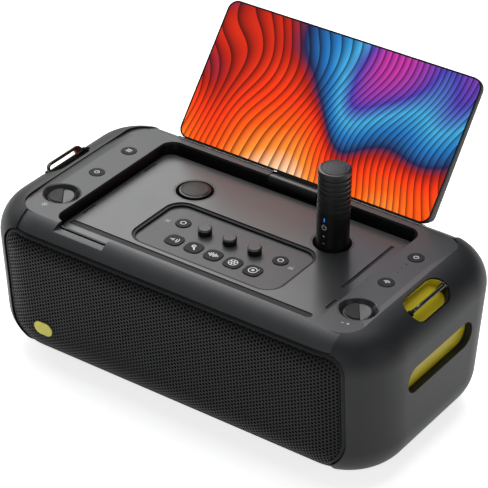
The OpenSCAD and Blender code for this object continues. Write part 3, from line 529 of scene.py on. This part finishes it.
surface = placed("grille_surface", form_solid(2.0))
PITCH, HOLE = 4.1, 1.38  # spacing of the holes, and their radius
SHEET = 0.9  # depth of a hole
cell = bmesh.new()
rims = []
for radius, depth in ((None, 0), (HOLE, 0), (HOLE, SHEET)):
    ring = []
    for k in range(12):
        t = math.radians(30 * k)
        r = radius or (PITCH / math.sqrt(3) if k % 2 == 0 else PITCH / 2)
        ring.append(cell.verts.new((r * math.cos(t) * 0.001, depth * 0.001, r * math.sin(t) * 0.001)))
    rims.append(ring)
for outer, inner in zip(rims, rims[1:]):
    for k in range(12):
        cell.faces.new((outer[k], outer[(k + 1) % 12], inner[(k + 1) % 12], inner[k]))
cell_mesh = bpy.data.meshes.new("hole")
cell.to_mesh(cell_mesh)
cell.free()
hole = placed("hole", cell_mesh)


def in_outline(x, z, outline):
    inside = False
    for (ax, az), (bx, bz) in zip(outline, outline[1:] + outline[:1]):
        if (az > z) != (bz > z) and x < (bx - ax) * (z - az) / (bz - az) + ax:
            inside = not inside
    return inside


def bent(s):
    """X of a point that lies s millimetres along the bent sheet from its middle."""
    over = max(abs(s) - 160, 0)
    return math.copysign(min(abs(s), 160) + 63 * math.sin(over / 63), s)


def node_tree(name, inputs):
    """A new tree of geometry nodes, and the identifiers of its named inputs."""
    tree = bpy.data.node_groups.new(name, "GeometryNodeTree")
    sockets = {}
    for label, kind in [("Geometry", "Geometry")] + inputs:
        socket = tree.interface.new_socket(label, in_out="INPUT", socket_type="NodeSocket" + kind)
        sockets[label] = socket.identifier
    tree.interface.new_socket("Geometry", in_out="OUTPUT", socket_type="NodeSocketGeometry")
    return tree, sockets


def made_by(tree, sockets, base, values):
    """The plain mesh that a node tree makes of a base mesh, with its named inputs set."""
    holder = placed(base.name, base)
    making = holder.modifiers.new("making", "NODES")
    making.node_group = tree
    for label, value in values:
        making[sockets[label]] = value
    bpy.context.view_layer.update()
    mesh = bpy.data.meshes.new_from_object(holder.evaluated_get(bpy.context.evaluated_depsgraph_get()))
    bpy.data.objects.remove(holder)
    return mesh


field_edge = grille_outline(4.6)
centres = []
for column in range(-66, 67):
    s = column * PITCH * math.sqrt(3) / 2
    for row in range(40):
        z = 82.25 + (row - 20 + (0.5 if column % 2 else 0)) * PITCH
        if abs(s) <= 200 and in_outline(bent(s), z, field_edge):
            centres.append((s * 0.001, 0, z * 0.001))
hole_centres = bpy.data.meshes.new("hole_centres")
hole_centres.from_pydata(centres, [], [])
tree, sockets = node_tree("punched_sheet", [("Hole", "Object"), ("Surface", "Object"), ("Half flat", "Float"),
                                            ("Bend radius", "Float"), ("Material", "Material")])
nodes, links = tree.nodes, tree.links
given, gives = nodes.new("NodeGroupInput"), nodes.new("NodeGroupOutput")
info, target = nodes.new("GeometryNodeObjectInfo"), nodes.new("GeometryNodeObjectInfo")
links.new(given.outputs["Hole"], info.inputs[0])
links.new(given.outputs["Surface"], target.inputs[0])
spread = nodes.new("GeometryNodeInstanceOnPoints")
links.new(given.outputs["Geometry"], spread.inputs["Points"])
links.new(info.outputs["Geometry"], spread.inputs["Instance"])
real = nodes.new("GeometryNodeRealizeInstances")
links.new(spread.outputs[0], real.inputs[0])
joined = fill(nodes.new("GeometryNodeMergeByDistance"), Distance=1e-5)
links.new(real.outputs[0], joined.inputs[0])
place, split = nodes.new("GeometryNodeInputPosition"), nodes.new("ShaderNodeSeparateXYZ")
links.new(place.outputs[0], split.inputs[0])
half_flat, bend = given.outputs["Half flat"], given.outputs["Bend radius"]
along = maths("ABSOLUTE", split.outputs[0])
over = maths("MAXIMUM", maths("SUBTRACT", along, half_flat), 0.0)
swept = maths("MULTIPLY", maths("SINE", maths("DIVIDE", over, bend)), bend)
reach = maths("ADD", maths("MINIMUM", along, half_flat), swept)
start = fill(nodes.new("ShaderNodeCombineXYZ"), Y=-0.4)
links.new(maths("MULTIPLY", reach, maths("SIGN", split.outputs[0])), start.inputs[0])
links.new(split.outputs[2], start.inputs[2])
ray = fill(nodes.new("GeometryNodeRaycast"), Ray_Direction=(0, 1, 0), Ray_Length=1.0)
links.new(target.outputs["Geometry"], ray.inputs["Target Geometry"])
links.new(start.outputs[0], ray.inputs["Source Position"])
landed = nodes.new("ShaderNodeVectorMath")
landed.operation = "ADD"
links.new(ray.outputs["Hit Position"], landed.inputs[0])
links.new(scaled(ray.outputs["Hit Normal"], maths("MULTIPLY", split.outputs[1], -1.0)), landed.inputs[1])
moved = nodes.new("GeometryNodeSetPosition")
links.new(joined.outputs[0], moved.inputs["Geometry"])
links.new(landed.outputs[0], moved.inputs["Position"])
painted = nodes.new("GeometryNodeSetMaterial")
links.new(moved.outputs[0], painted.inputs["Geometry"])
links.new(given.outputs["Material"], painted.inputs["Material"])
links.new(painted.outputs[0], gives.inputs[0])
mesh = made_by(tree, sockets, hole_centres, (("Hole", hole), ("Surface", surface), ("Half flat", 0.160),
                                             ("Bend radius", 0.063), ("Material", grille_black)))
mesh.shade_flat()
piece("punched_grille", mesh, grille_black, "cabinet", "grille", slot="grille")
bpy.data.objects.remove(hole)

# Border of the grille: a plain rim on the same bent surface, a trace proud of the punched field, with
# its outer edge turned back into the case.
border = bmesh.new()
corners = [tuple(p.vertices) for p in surface.data.polygons]
probe = BVHTree.FromPolygons([v.co for v in surface.data.vertices], corners)


def dense(outline, step):
    made = []
    for (ax, az), (bx, bz) in zip(outline, outline[1:] + outline[:1]):
        cuts = max(1, int(math.hypot(bx - ax, bz - az) / step))
        made += [(ax + (bx - ax) * k / cuts, az + (bz - az) * k / cuts) for k in range(cuts)]
    return made


def narrowed(outline, by):
    """The outline moved inwards by a distance, corner by corner."""
    made = []
    for k, (x, z) in enumerate(outline):
        (ax, az), (bx, bz) = outline[k - 1], outline[(k + 1) % len(outline)]
        dx, dz = bx - ax, bz - az
        size = math.hypot(dx, dz)
        made.append((x - dz / size * by, z + dx / size * by))
    return made


outer = dense(grille_outline(0.2), 4)
loops = []
for outline, depth in ((outer, 0.9), (outer, 0.0), (narrowed(outer, 0.5), -0.15),
                       (narrowed(outer, 3.6), -0.15),
                       (narrowed(outer, 3.9), 0.1)):
    ring = []
    for x, z in outline:
        hit, normal, index, distance = probe.ray_cast(Vector((x * 0.001, -0.4, z * 0.001)), Vector((0, 1, 0)))
        ring.append(border.verts.new(hit - normal * depth * 0.001))
    loops.append(ring)
many = len(outer)
for outer_ring, inner_ring in zip(loops, loops[1:]):
    for k in range(many):
        following = (k + 1) % many
        border.faces.new((outer_ring[k], outer_ring[following], inner_ring[following], inner_ring[k]))
border_mesh = bpy.data.meshes.new("border")
border.to_mesh(border_mesh)
border.free()
border_mesh.shade_smooth()
border_mesh.set_sharp_from_angle(angle=math.radians(40))
piece("grille_border", border_mesh, grille_black, "cabinet", "grille", slot="grille")
bpy.data.objects.remove(surface)

# Recess: a black tray with a gutter, hung under the deck, with a collar round each microphone bore and
# the wells and gilt charging contacts that the microphones stand on.
body_of_node = {node: body for body, group in frame["record"]["behaviour"]["bodies"].items()
                for node in group}


def dressed(node, material, width):
    """A part in the shape of the model, with its flat faces joined and its edges rounded by width."""
    mesh = soften(frame["nodes"][node].data.copy(), width)
    return piece(node + "_finished", mesh, material, body_of_node[node], node)


wall_black = moulded("wall_black", "101011", 0.3, mottle=0.1, depth=0.05)
brass = moulded("contact_gold", "c9a24a", 0.3, mottle=0.05, depth=0.05, metal=1.0)
dressed("recess_tray", wall_black, 0.3)
dressed("bore_collars", wall_black, 0.3)
dressed("mic_wells", wall_black, 0)
dressed("well_contacts", brass, 0)

# Recess floor: a satin grey moulding. Its grooves, ledge and steep edges get a darker, duller material as
# painted shade where the recess is shaded.
floor_grey = moulded("floor_grey", "272829", 0.3, mottle=0.03, depth=0.04)
groove_dark = moulded("groove_dark", "1a1b1c", 0.55, mottle=0.05, depth=0.05, level=0.2)
FLOOR_TOP = 151.5
floor = dressed("recess_floor", (floor_grey, groove_dark), 0.3)
# Painted shade: faces below the floor's top, or steeper than 60 degrees, take the darker material.
for polygon in floor.data.polygons:
    if polygon.center.z * 1000 < FLOOR_TOP or polygon.normal.z < 0.5:
        polygon.material_index = 1

# Controls: a grey panel sunk in the floor and two round dishes in the deck, with rubber keys, small
# turned knobs and clear lamps. The keys stand on springs, and the knobs on the shafts of their controls.
panel_grey = moulded("panel_grey", "343537", 0.42, mottle=0.03, depth=0.05, level=0.4)
dish_grey = moulded("dish_grey", "242526", 0.24, mottle=0.05, depth=0.05)
key_black = moulded("key_black", "17181a", 0.62, mottle=0.1, size=1300.0, depth=0.15, level=0.22)
knob_black = moulded("knob_black", "0d0e0f", 0.36, mottle=0.1, size=1300.0, depth=0.1, level=0.4)
lamp_clear = moulded("lamp_clear", "2a2f35", 0.2, mottle=0.05, depth=0.02)
dressed("control_panel", panel_grey, 0.2)
dressed("knob_dishes", dish_grey, 0.5)
dressed("strip_lamps", lamp_clear, 0.1)
dressed("panel_lamps", lamp_clear, 0.1)
for side in ("left", "middle", "right"):
    dressed("tone_knob_" + side, knob_black, 0.3)
for key in ("strip_button_front_left", "strip_button_rear_left", "strip_button_front_right",
              "strip_button_rear_right", "ring_button_left", "ring_button_right"):
    dressed(key, key_black, 0.3)
for k in range(1, 6):
    dressed("pad_%d" % k, key_black, 0.4)

# Carry rings and slots: a bent gunmetal ring on black lugs in each shoulder, over a yellow tray, and a yellow
# plate behind the grip slot in each end. The tray's outer wall, and in the left slot nearly all of the tray,
# is painted black as painted shade in the slot's hollow.
liner_yellow = moulded("liner_yellow", "d6c31a", 0.42, mottle=0.06, depth=0.08)
gunmetal = moulded("ring_gunmetal", "4a4945", 0.24, mottle=0.08, spread=0.1, depth=0.04, metal=1.0)
dressed("ring_lugs", wall_black, 0.2)
for s, side in ((-1, "left"), (1, "right")):
    dressed("carry_ring_" + side, gunmetal, 0)
    dressed("grip_plate_" + side, liner_yellow, 0)
    liner = dressed("slot_liner_" + side, (liner_yellow, wall_black), 0.3)
    back_to_slot = shoulder(s).inverted()
    # Painted shade: the liner's faces toward the outer side, and in the left slot nearly all its faces, take
    # the black wall material.
    for polygon in liner.data.polygons:
        x, y, z = polygon.center * 1000
        local = back_to_slot @ Vector((x, y + SHIFT, z))
        if s * local.x > 3 and local.z > -15 or s < 0 and local.x < 8:
            polygon.material_index = 1

# Badge and feet: a plain oval of yellow plastic clipped into the grille, and four rubber feet pressed
# into the bottom pan.
badge_yellow = moulded("badge_yellow", "ece35a", 0.4, mottle=0.03, depth=0.05)
foot_black = moulded("foot_black", "151515", 0.8, mottle=0.15, depth=0.3)
dressed("badge", badge_yellow, 0.4)
dressed("rubber_feet", foot_black, 0.6)

# Inside the case: two paper woofers on a baffle behind the grille, a main board and a battery pack.
# Nothing of it shows from outside.
board_green = moulded("board_green", "1f5a34", 0.45, mottle=0.2, size=400.0, depth=0.1)
cell_blue = moulded("cell_blue", "2f4f8f", 0.4, mottle=0.05, depth=0.05)
cone_dark = moulded("cone_dark", "2d2d30", 0.7, mottle=0.15, depth=0.3)
for node, material, width in (
        ("baffle", carrier_black, 0), ("woofer_left", cone_dark, 0), ("woofer_right", cone_dark, 0),
        ("main_board", board_green, 0), ("battery_pack", cell_blue, 2.0)):
    dressed(node, material, width)

# Screen: a moulded back and a thin black frame round the display, on a hollow barrel that turns on a
# steel pin between the arms of a bracket under the deck.
bezel_black = moulded("bezel_black", "131314", 0.55, mottle=0.1, depth=0.05, level=0.15)
steel_bright = moulded("pin_steel", "b9b9b4", 0.25, mottle=0.05, spread=0.15, depth=0.05, metal=1.0)
for node, material, width in (
        ("hinge_bracket", wall_black, 0.3), ("hinge_pin", steel_bright, 0), ("hinge_barrel", wall_black, 0.3),
        ("screen_back", rubber_grey, 0.8), ("screen_bezel", bezel_black, 0.2),
        ("display_module", wall_black, 0)):
    dressed(node, material, width)

# Microphones: a smooth black handle with a rubber key, and a head of stacked ribs screwed on its top.
mic_black = moulded("mic_black", "0e0f10", 0.36, mottle=0.1, size=1500.0, depth=0.08, level=0.45)
head_black = moulded("head_black", "131415", 0.34, mottle=0.15, size=2200.0, depth=0.35)
MIC_X, MIC_Y, MIC_R = 79.9, 39.7, 15.8
MIC_TOP = {"left": 155.0, "right": 234.5}
for side in ("left", "right"):
    dressed("mic_" + side + "_body", mic_black, 0.4)
    dressed("mic_" + side + "_head", head_black, 0.4)
    dressed("mic_" + side + "_button", key_black, 0.4)

# Printed marks: white ink on keys, deck and microphones, laid on as a very thin raised print, and the
# blue light of the microphones' lamps.
ink = moulded("white_ink", "d9dadb", 0.55, mottle=0.04, depth=0.05)
blue_lamp, nodes, links, shader = bare_material("blue_lamp")
fill(shader, Roughness=0.3, Emission_Strength=1.0)
spot = fill(nodes.new("ShaderNodeTexNoise"), Scale=600)
where = nodes.new("ShaderNodeTexCoord")
links.new(where.outputs["Object"], spot.inputs["Vector"])


def mix(amount, first, second):
    """A colour between two hex codes, in the node tree being wired."""
    node = nodes.new("ShaderNodeMix")
    node.data_type = "RGBA"
    node.inputs[6].default_value, node.inputs[7].default_value = hexa(first), hexa(second)
    links.new(amount, node.inputs[0])
    return node.outputs[2]


blue = mix(spot.outputs["Fac"], "1560c8", "2f86e8")
links.new(blue, shader.inputs["Base Color"])
links.new(blue, shader.inputs["Emission Color"])


def arc(r, start, stop, cx=0.0, cy=0.0, steps=20):
    many = max(2, int(steps * abs(stop - start) / 180))
    turns = [math.radians(start + (stop - start) * k / many) for k in range(many + 1)]
    return [(cx + r * math.cos(t), cy + r * math.sin(t)) for t in turns]


def printed(name, strokes, where_to, body, material=ink):
    """A mark from strokes of (points, width); where_to puts a flat point and a height in place."""
    bm = bmesh.new()
    for points, width in strokes:
        closed = len(points) > 3 and math.dist(points[0], points[-1]) < 1e-6
        points = points[:-1] if closed else points
        many = len(points)
        rows = []
        for k, (x, y) in enumerate(points):
            ax, ay = points[k - 1] if k or closed else points[k]
            bx, by = points[(k + 1) % many] if k < many - 1 or closed else points[k]
            dx, dy = bx - ax, by - ay
            size = math.hypot(dx, dy)
            nx, ny = -dy / size * width / 2, dx / size * width / 2
            ex, ey = ((-dx if k == 0 else dx) / size * width / 3, (-dy if k == 0 else dy) / size * width / 3)
            if closed or 0 < k < many - 1:
                ex = ey = 0
            rows.append([bm.verts.new(where_to(x + ex + side * nx, y + ey + side * ny, h))
                         for side, h in ((1, -0.03), (1, 0.06), (-1, 0.06), (-1, -0.03))])
        pairs = list(zip(rows, rows[1:])) + ([(rows[-1], rows[0])] if closed else [])
        for a, b in pairs:
            for k in range(4):
                bm.faces.new((a[k], a[(k + 1) % 4], b[(k + 1) % 4], b[k]))
        if not closed:
            bm.faces.new(tuple(reversed(rows[0])))
            bm.faces.new(tuple(rows[-1]))
    bmesh.ops.recalc_face_normals(bm, faces=bm.faces)
    mesh = bpy.data.meshes.new(name)
    bm.to_mesh(mesh)
    bm.free()
    return piece(name, mesh, material, body)


def level(cx, cy, top):
    return lambda x, y, h: at(cx + x, cy + y, top + h)


KEY_TOP, STRIP_TOP = 149.0, 163.0
power = [(arc(2.3, 125, 415), 0.7), ([(0, 0.6), (0, 3.0)], 0.7)]
bars = [([(-2.6, y), (2.6, y)], 0.75) for y in (1.9, 0, -1.9)]
signal = [(arc(0.5, 0, 360), 0.7), (arc(2.0, 20, 160), 0.6), (arc(3.3, 20, 160), 0.6)]
for name, marks, x, y in (
        ("front_left", power, -KEY_X, KEY_FRONT), ("rear_left", bars, -KEY_X, KEY_REAR),
        ("front_right", signal, KEY_X, KEY_FRONT - 0.8), ("rear_right", power, KEY_X, KEY_REAR)):
    printed("mark_strip_" + name, marks, level(x, y, STRIP_TOP), "strip_button_" + name)
for name, x in (("left", -56.1), ("right", 56.1)):
    printed("mark_ring_" + name, [(arc(2.6, 0, 360), 0.75)], level(x, -11.8, KEY_TOP), "ring_button_" + name)
speaker_mark = [([(-4.4, 0), (-3.0, 0), (-1.0, 1.9), (-1.0, -1.9), (-3.0, 0)], 1.0),
                (arc(2.4, -45, 45), 0.8), (arc(4.6, -45, 45), 0.8)]
mic_mark = [(arc(1.9, 0, 360, -0.9, 1.5), 0.8), ([(-0.2, 0.2), (2.6, -3.4)], 1.5),
            ([(-2.4, 0.6), (0.2, 3.0)], 0.6)]
wave_mark = [([(x, -h), (x, h)], 0.9) for x, h in (
    (-4.8, 0.8), (-3.2, 2.0), (-1.6, 3.2), (0, 1.6), (1.6, 2.8), (3.2, 1.8), (4.8, 0.8))]


def spokes(count, first, near, far, width):
    """Straight strokes between two radii, the first at an angle in degrees."""
    turns = [math.radians(first + 360 / count * k) for k in range(count)]
    return [([(r * math.cos(t), r * math.sin(t)) for r in (near, far)], width) for t in turns]


star_mark = spokes(6, 30, 1.3, 3.9, 1.0) + [(arc(4.6, 0, 360, steps=26), 0.6)]
loop_mark = [(arc(4.2, 60, 390), 0.8), (arc(1.0, 0, 360), 1.1), ([(2.2, 3.0), (4.0, 2.0), (4.6, 4.2)], 0.8)]
for k, marks in enumerate((speaker_mark, mic_mark, wave_mark, star_mark, loop_mark)):
    printed("mark_pad_%d" % (k + 1), marks, level(22.5 * (k - 2), -41.1, KEY_TOP), "pad_%d" % (k + 1))
plus_minus = [([(1.4, 0), (4.0, 0)], 0.55), ([(2.7, -1.3), (2.7, 1.3)], 0.55),
              ([(-3.4, -1.2), (-1.2, -1.2)], 0.55)]
printed("mark_volume_right", plus_minus, level(172, -80.5, DECK), "cabinet")
rays = [(arc(1.1, 0, 360), 0.4)] + spokes(8, 0, 2.0, 3.0, 0.4)
printed("mark_lights_left", rays, level(-170, -80.5, DECK), "cabinet")
for s, name in ((-1, "left"), (1, "right")):
    lamp_mark = [([(x, -1.2), (x + 0.9, 1.0)], 0.4) for x in (-2.4, -0.8, 0.8)]
    lamp_mark.append(([(-2.8, -2.2), (2.2, -2.2)], 0.35))
    printed("mark_lamp_" + name, lamp_mark, level(s * 71, -15.6, 148.1), "cabinet")


def round_mic(cx, top):
    """Marks on the front of a microphone: across its round handle, and up from its lower end."""
    return lambda x, y, h: at(cx + (MIC_R + h) * math.sin(x / MIC_R),
                              MIC_Y - (MIC_R + h) * math.cos(x / MIC_R), top + y)


mic_marks = [([(x, y - 59) for x, y in points], width) for points, width in power]
mic_marks += [([(-0.9, -68.6), (0.9, -68.6)], 0.6), ([(0, -69.5), (0, -67.7)], 0.6),
              ([(-0.9, -76.6), (0.9, -76.6)], 0.6)]
for s, side in ((-1, "left"), (1, "right")):
    up_there = round_mic(s * MIC_X, MIC_TOP[side])
    printed("mark_mic_" + side, mic_marks, up_there, "mic_" + side)
    printed("mic_lamp_" + side, [([(0, -52.6), (0, -49.4)], 1.1)], up_there, "mic_" + side, blue_lamp)

# Microphone heads: a shallow disc of woven black mesh set in the ribbed head behind a thin rim,
# and a fine satin ring where the head meets the handle.
def turned_ring(name, profile, centre, body, material, steps=64):
    """A turned part: its profile of radius and height, closed on itself, swept round an upright axis."""
    bm = bmesh.new()
    rows = []
    for k in range(steps):
        t = 2 * math.pi * k / steps
        rows.append([bm.verts.new(at(centre[0] + r * math.cos(t), centre[1] + r * math.sin(t), centre[2] + z))
                     for r, z in profile])
    for a, b in zip(rows, rows[1:] + rows[:1]):
        for k in range(len(profile)):
            bm.faces.new((a[k], b[k], b[(k + 1) % len(profile)], a[(k + 1) % len(profile)]))
    bmesh.ops.recalc_face_normals(bm, faces=bm.faces)
    mesh = bpy.data.meshes.new(name)
    bm.to_mesh(mesh)
    bm.free()
    mesh.shade_smooth()
    mesh.set_sharp_from_angle(angle=math.radians(40))
    return piece(name, mesh, material, body)


woven, nodes, links, shader = bare_material("woven_mesh")
where = nodes.new("ShaderNodeTexCoord")
threads = []
for direction in ("X", "Y"):
    wave = fill(nodes.new("ShaderNodeTexWave"), Scale=330)
    wave.wave_type, wave.bands_direction = "BANDS", direction
    links.new(where.outputs["Object"], wave.inputs["Vector"])
    threads.append(wave.outputs["Fac"])
weave = maths("MULTIPLY", *threads)
relief = fill(nodes.new("ShaderNodeBump"), Distance=0.0003)
links.new(weave, relief.inputs["Height"])
fill(shader, Roughness=0.38)
links.new(mix(weave, "0b0b0c", "4a4b4d"), shader.inputs["Base Color"])
links.new(relief.outputs[0], shader.inputs["Normal"])
dome = 3.3 * MIC_R
heights = [(r, math.sqrt(dome * dome - r * r) - dome) for r in (13.0, 11.5, 10, 8, 6, 4, 2, 0.05)]
edge = heights[0][1]
mesh_profile = [(13.0, edge - 0.3)] + [(r, z + 0.12) for r, z in heights] + [(0.05, -1.5)]
rim_profile = [(13.0, edge - 0.3), (13.05, edge + 0.3), (13.35, edge + 0.45), (13.7, edge + 0.25),
               (13.9, edge - 0.4)]
waist_profile = [(15.5, -0.35), (15.95, -0.3), (15.95, 0.3), (15.5, 0.35)]
for s, side in ((-1, "left"), (1, "right")):
    for part, profile, drop, material in (
            ("mic_mesh_", mesh_profile, 0, woven), ("mic_rim_", rim_profile, 0, knob_black),
            ("mic_waist_", waist_profile, 45.0, knob_black)):
        turned_ring(part + side, profile, (s * MIC_X, MIC_Y, MIC_TOP[side] - drop), "mic_" + side, material)

# Volume knobs: a low thumb wheel whose sloped top is split, one half ribbed for grip. The ribs
# are bars that a node tree sets side by side along the split, cut to the round of the knob.
knob_deep = moulded("knob_deep", "0c0c0d", 0.4, mottle=0.1, size=1300.0, depth=0.1, level=0.3)
# A lighter copy of the knob's black, a painted highlight for the knob's sloped facet.
knob_facet = moulded("knob_facet", "2c2d2e", 0.35, mottle=0.1, size=1300.0, depth=0.1, level=0.4)
tree, sockets = node_tree("grip_ribs", [("Width", "Float"), ("Material", "Material")])
nodes, links = tree.nodes, tree.links
given, gives = nodes.new("NodeGroupInput"), nodes.new("NodeGroupOutput")
curve = nodes.new("GeometryNodeMeshToCurve")
profile = fill(nodes.new("GeometryNodeCurvePrimitiveCircle"), Resolution=6)
links.new(given.outputs["Width"], profile.inputs["Radius"])
tube = fill(nodes.new("GeometryNodeCurveToMesh"), Fill_Caps=True)
real = nodes.new("GeometryNodeRealizeInstances")
painted = nodes.new("GeometryNodeSetMaterial")
links.new(given.outputs["Geometry"], curve.inputs[0])
links.new(curve.outputs[0], tube.inputs[0])
links.new(profile.outputs[0], tube.inputs[1])
links.new(tube.outputs[0], real.inputs[0])
links.new(real.outputs[0], painted.inputs[0])
links.new(given.outputs["Material"], painted.inputs["Material"])
links.new(painted.outputs[0], gives.inputs[0])
KNOB_R, RIB_GAP, RIB_TOP = 12.3, 1.15, 160.4
split_turn = Matrix.Rotation(math.radians(35), 4, "Z")
for s, name in ((-1, "left"), (1, "right")):
    knob = dressed("volume_knob_" + name, (knob_deep, knob_facet), 0.4)
    # Painted highlight: the sloped faces of each knob take the lighter material where light falls on them.
    for polygon in knob.data.polygons:
        if 0.9 < polygon.normal.z < 0.995:
            polygon.material_index = 1
    points = []
    for k in range(11):
        x = 0.2 - RIB_GAP * k
        reach = math.sqrt(max(KNOB_R ** 2 - x * x, 0))
        for y in (-reach, reach):
            turned = split_turn @ Vector((x, y, 0))
            points.append(at(s * DISH_X + turned.x, DISH_Y + turned.y, RIB_TOP))
    lines = bpy.data.meshes.new("rib_lines")
    lines.from_pydata(points, [(2 * k, 2 * k + 1) for k in range(11)], [])
    mesh = made_by(tree, sockets, lines, (("Width", 0.00042), ("Material", knob_deep)))
    mesh.shade_smooth()
    piece("knob_ribs_" + name, mesh, knob_deep, "volume_knob_" + name)

# Display: a glossy panel that shows stacked ribbons of light, a plain design of the maker's own.
# The ribbons are saw-tooth bands on a slowly drifting field, and their hue comes from a second field.
glow, nodes, links, shader = bare_material("display_picture")
where = nodes.new("ShaderNodeUVMap")
where.uv_map = "panel"
stretched = fill(nodes.new("ShaderNodeMapping"), Scale=(2.0, 1.0, 1.0), Location=(3.1, 1.7, 0.0))
links.new(where.outputs[0], stretched.inputs[0])


def field(scale, source, seed):
    """A smooth random field over the panel."""
    node = nodes.new("ShaderNodeTexNoise")
    node.noise_dimensions = "4D"
    fill(node, Scale=scale, Detail=0.0, W=seed)
    links.new(source, node.inputs["Vector"])
    return node


def ramp(source, stops):
    """Colours along a value, from stops of (place, hex code)."""
    node = nodes.new("ShaderNodeValToRGB")
    while len(node.color_ramp.elements) < len(stops):
        node.color_ramp.elements.new(0.5)
    for element, (position, colour) in zip(node.color_ramp.elements, stops):
        element.position = position
    for element, (position, colour) in zip(sorted(node.color_ramp.elements, key=lambda e: e.position), stops):
        element.color = hexa(colour)
    links.new(source, node.inputs[0])
    return node.outputs[0]


flow = nodes.new("ShaderNodeVectorMath")
flow.operation = "MULTIPLY_ADD"
flow.inputs[1].default_value = (0.9, 0.9, 0)
links.new(field(1.1, stretched.outputs[0], 4.0).outputs["Color"], flow.inputs[0])
links.new(stretched.outputs[0], flow.inputs[2])
drift = field(1.4, flow.outputs[0], 2.0).outputs["Fac"]
split_uv = nodes.new("ShaderNodeSeparateXYZ")
links.new(where.outputs[0], split_uv.inputs[0])
slope = maths("MULTIPLY_ADD", split_uv.outputs[0], 0.24, -0.56)
height = maths("MULTIPLY_ADD", drift, 1.15, maths("MULTIPLY_ADD", split_uv.outputs[1], 0.62, slope))
hue = ramp(height, [(0.0, "ffd0a8"), (0.13, "ff8c30"), (0.27, "ff5c0a"), (0.4, "fb3a06"), (0.5, "b01c08"),
                    (0.56, "1c2350"), (0.66, "1f6fb4"), (0.76, "3fa0d0"), (0.86, "4a3aa8"), (1.0, "b8309a")])
ribbons = fill(nodes.new("ShaderNodeTexWave"), Scale=5.6, Distortion=0.0)
ribbons.wave_type, ribbons.bands_direction, ribbons.wave_profile = "BANDS", "X", "SAW"
links.new(flow.outputs[0], ribbons.inputs["Vector"])
rib = ramp(ribbons.outputs["Fac"], [(0.0, "4a4a4a"), (0.08, "8a8a8a"), (0.4, "d8d8d8"), (0.8, "ffffff"),
                                    (1.0, "ffffff")])
fill(shader, Base_Color=(0.01, 0.01, 0.012, 1), Roughness=0.2, Specular_IOR_Level=0.15, Emission_Strength=1.3)
links.new(scaled(hue, rib), shader.inputs["Emission Color"])

lean = math.radians(39)
HINGE_Y, HINGE_Z = 94.38749, 156.5
PANEL_W, PANEL_H, PANEL_LOW = 292.6, 147.7, 9.3  # size of the lit panel, and its distance from the hinge
glass = soften(frame["nodes"]["display_glass"].data.copy(), 0.2)
layer = glass.uv_layers.new(name="panel")
for loop in glass.loops:
    x, y, z = glass.vertices[loop.vertex_index].co * 1000
    raised = (y + SHIFT - HINGE_Y) * math.sin(lean) + (z - HINGE_Z) * math.cos(lean)
    layer.data[loop.index].uv = (x / PANEL_W + 0.5, (raised - PANEL_LOW) / PANEL_H)
piece("display_panel", glass, glow, "screen", "display_glass", slot="glass")
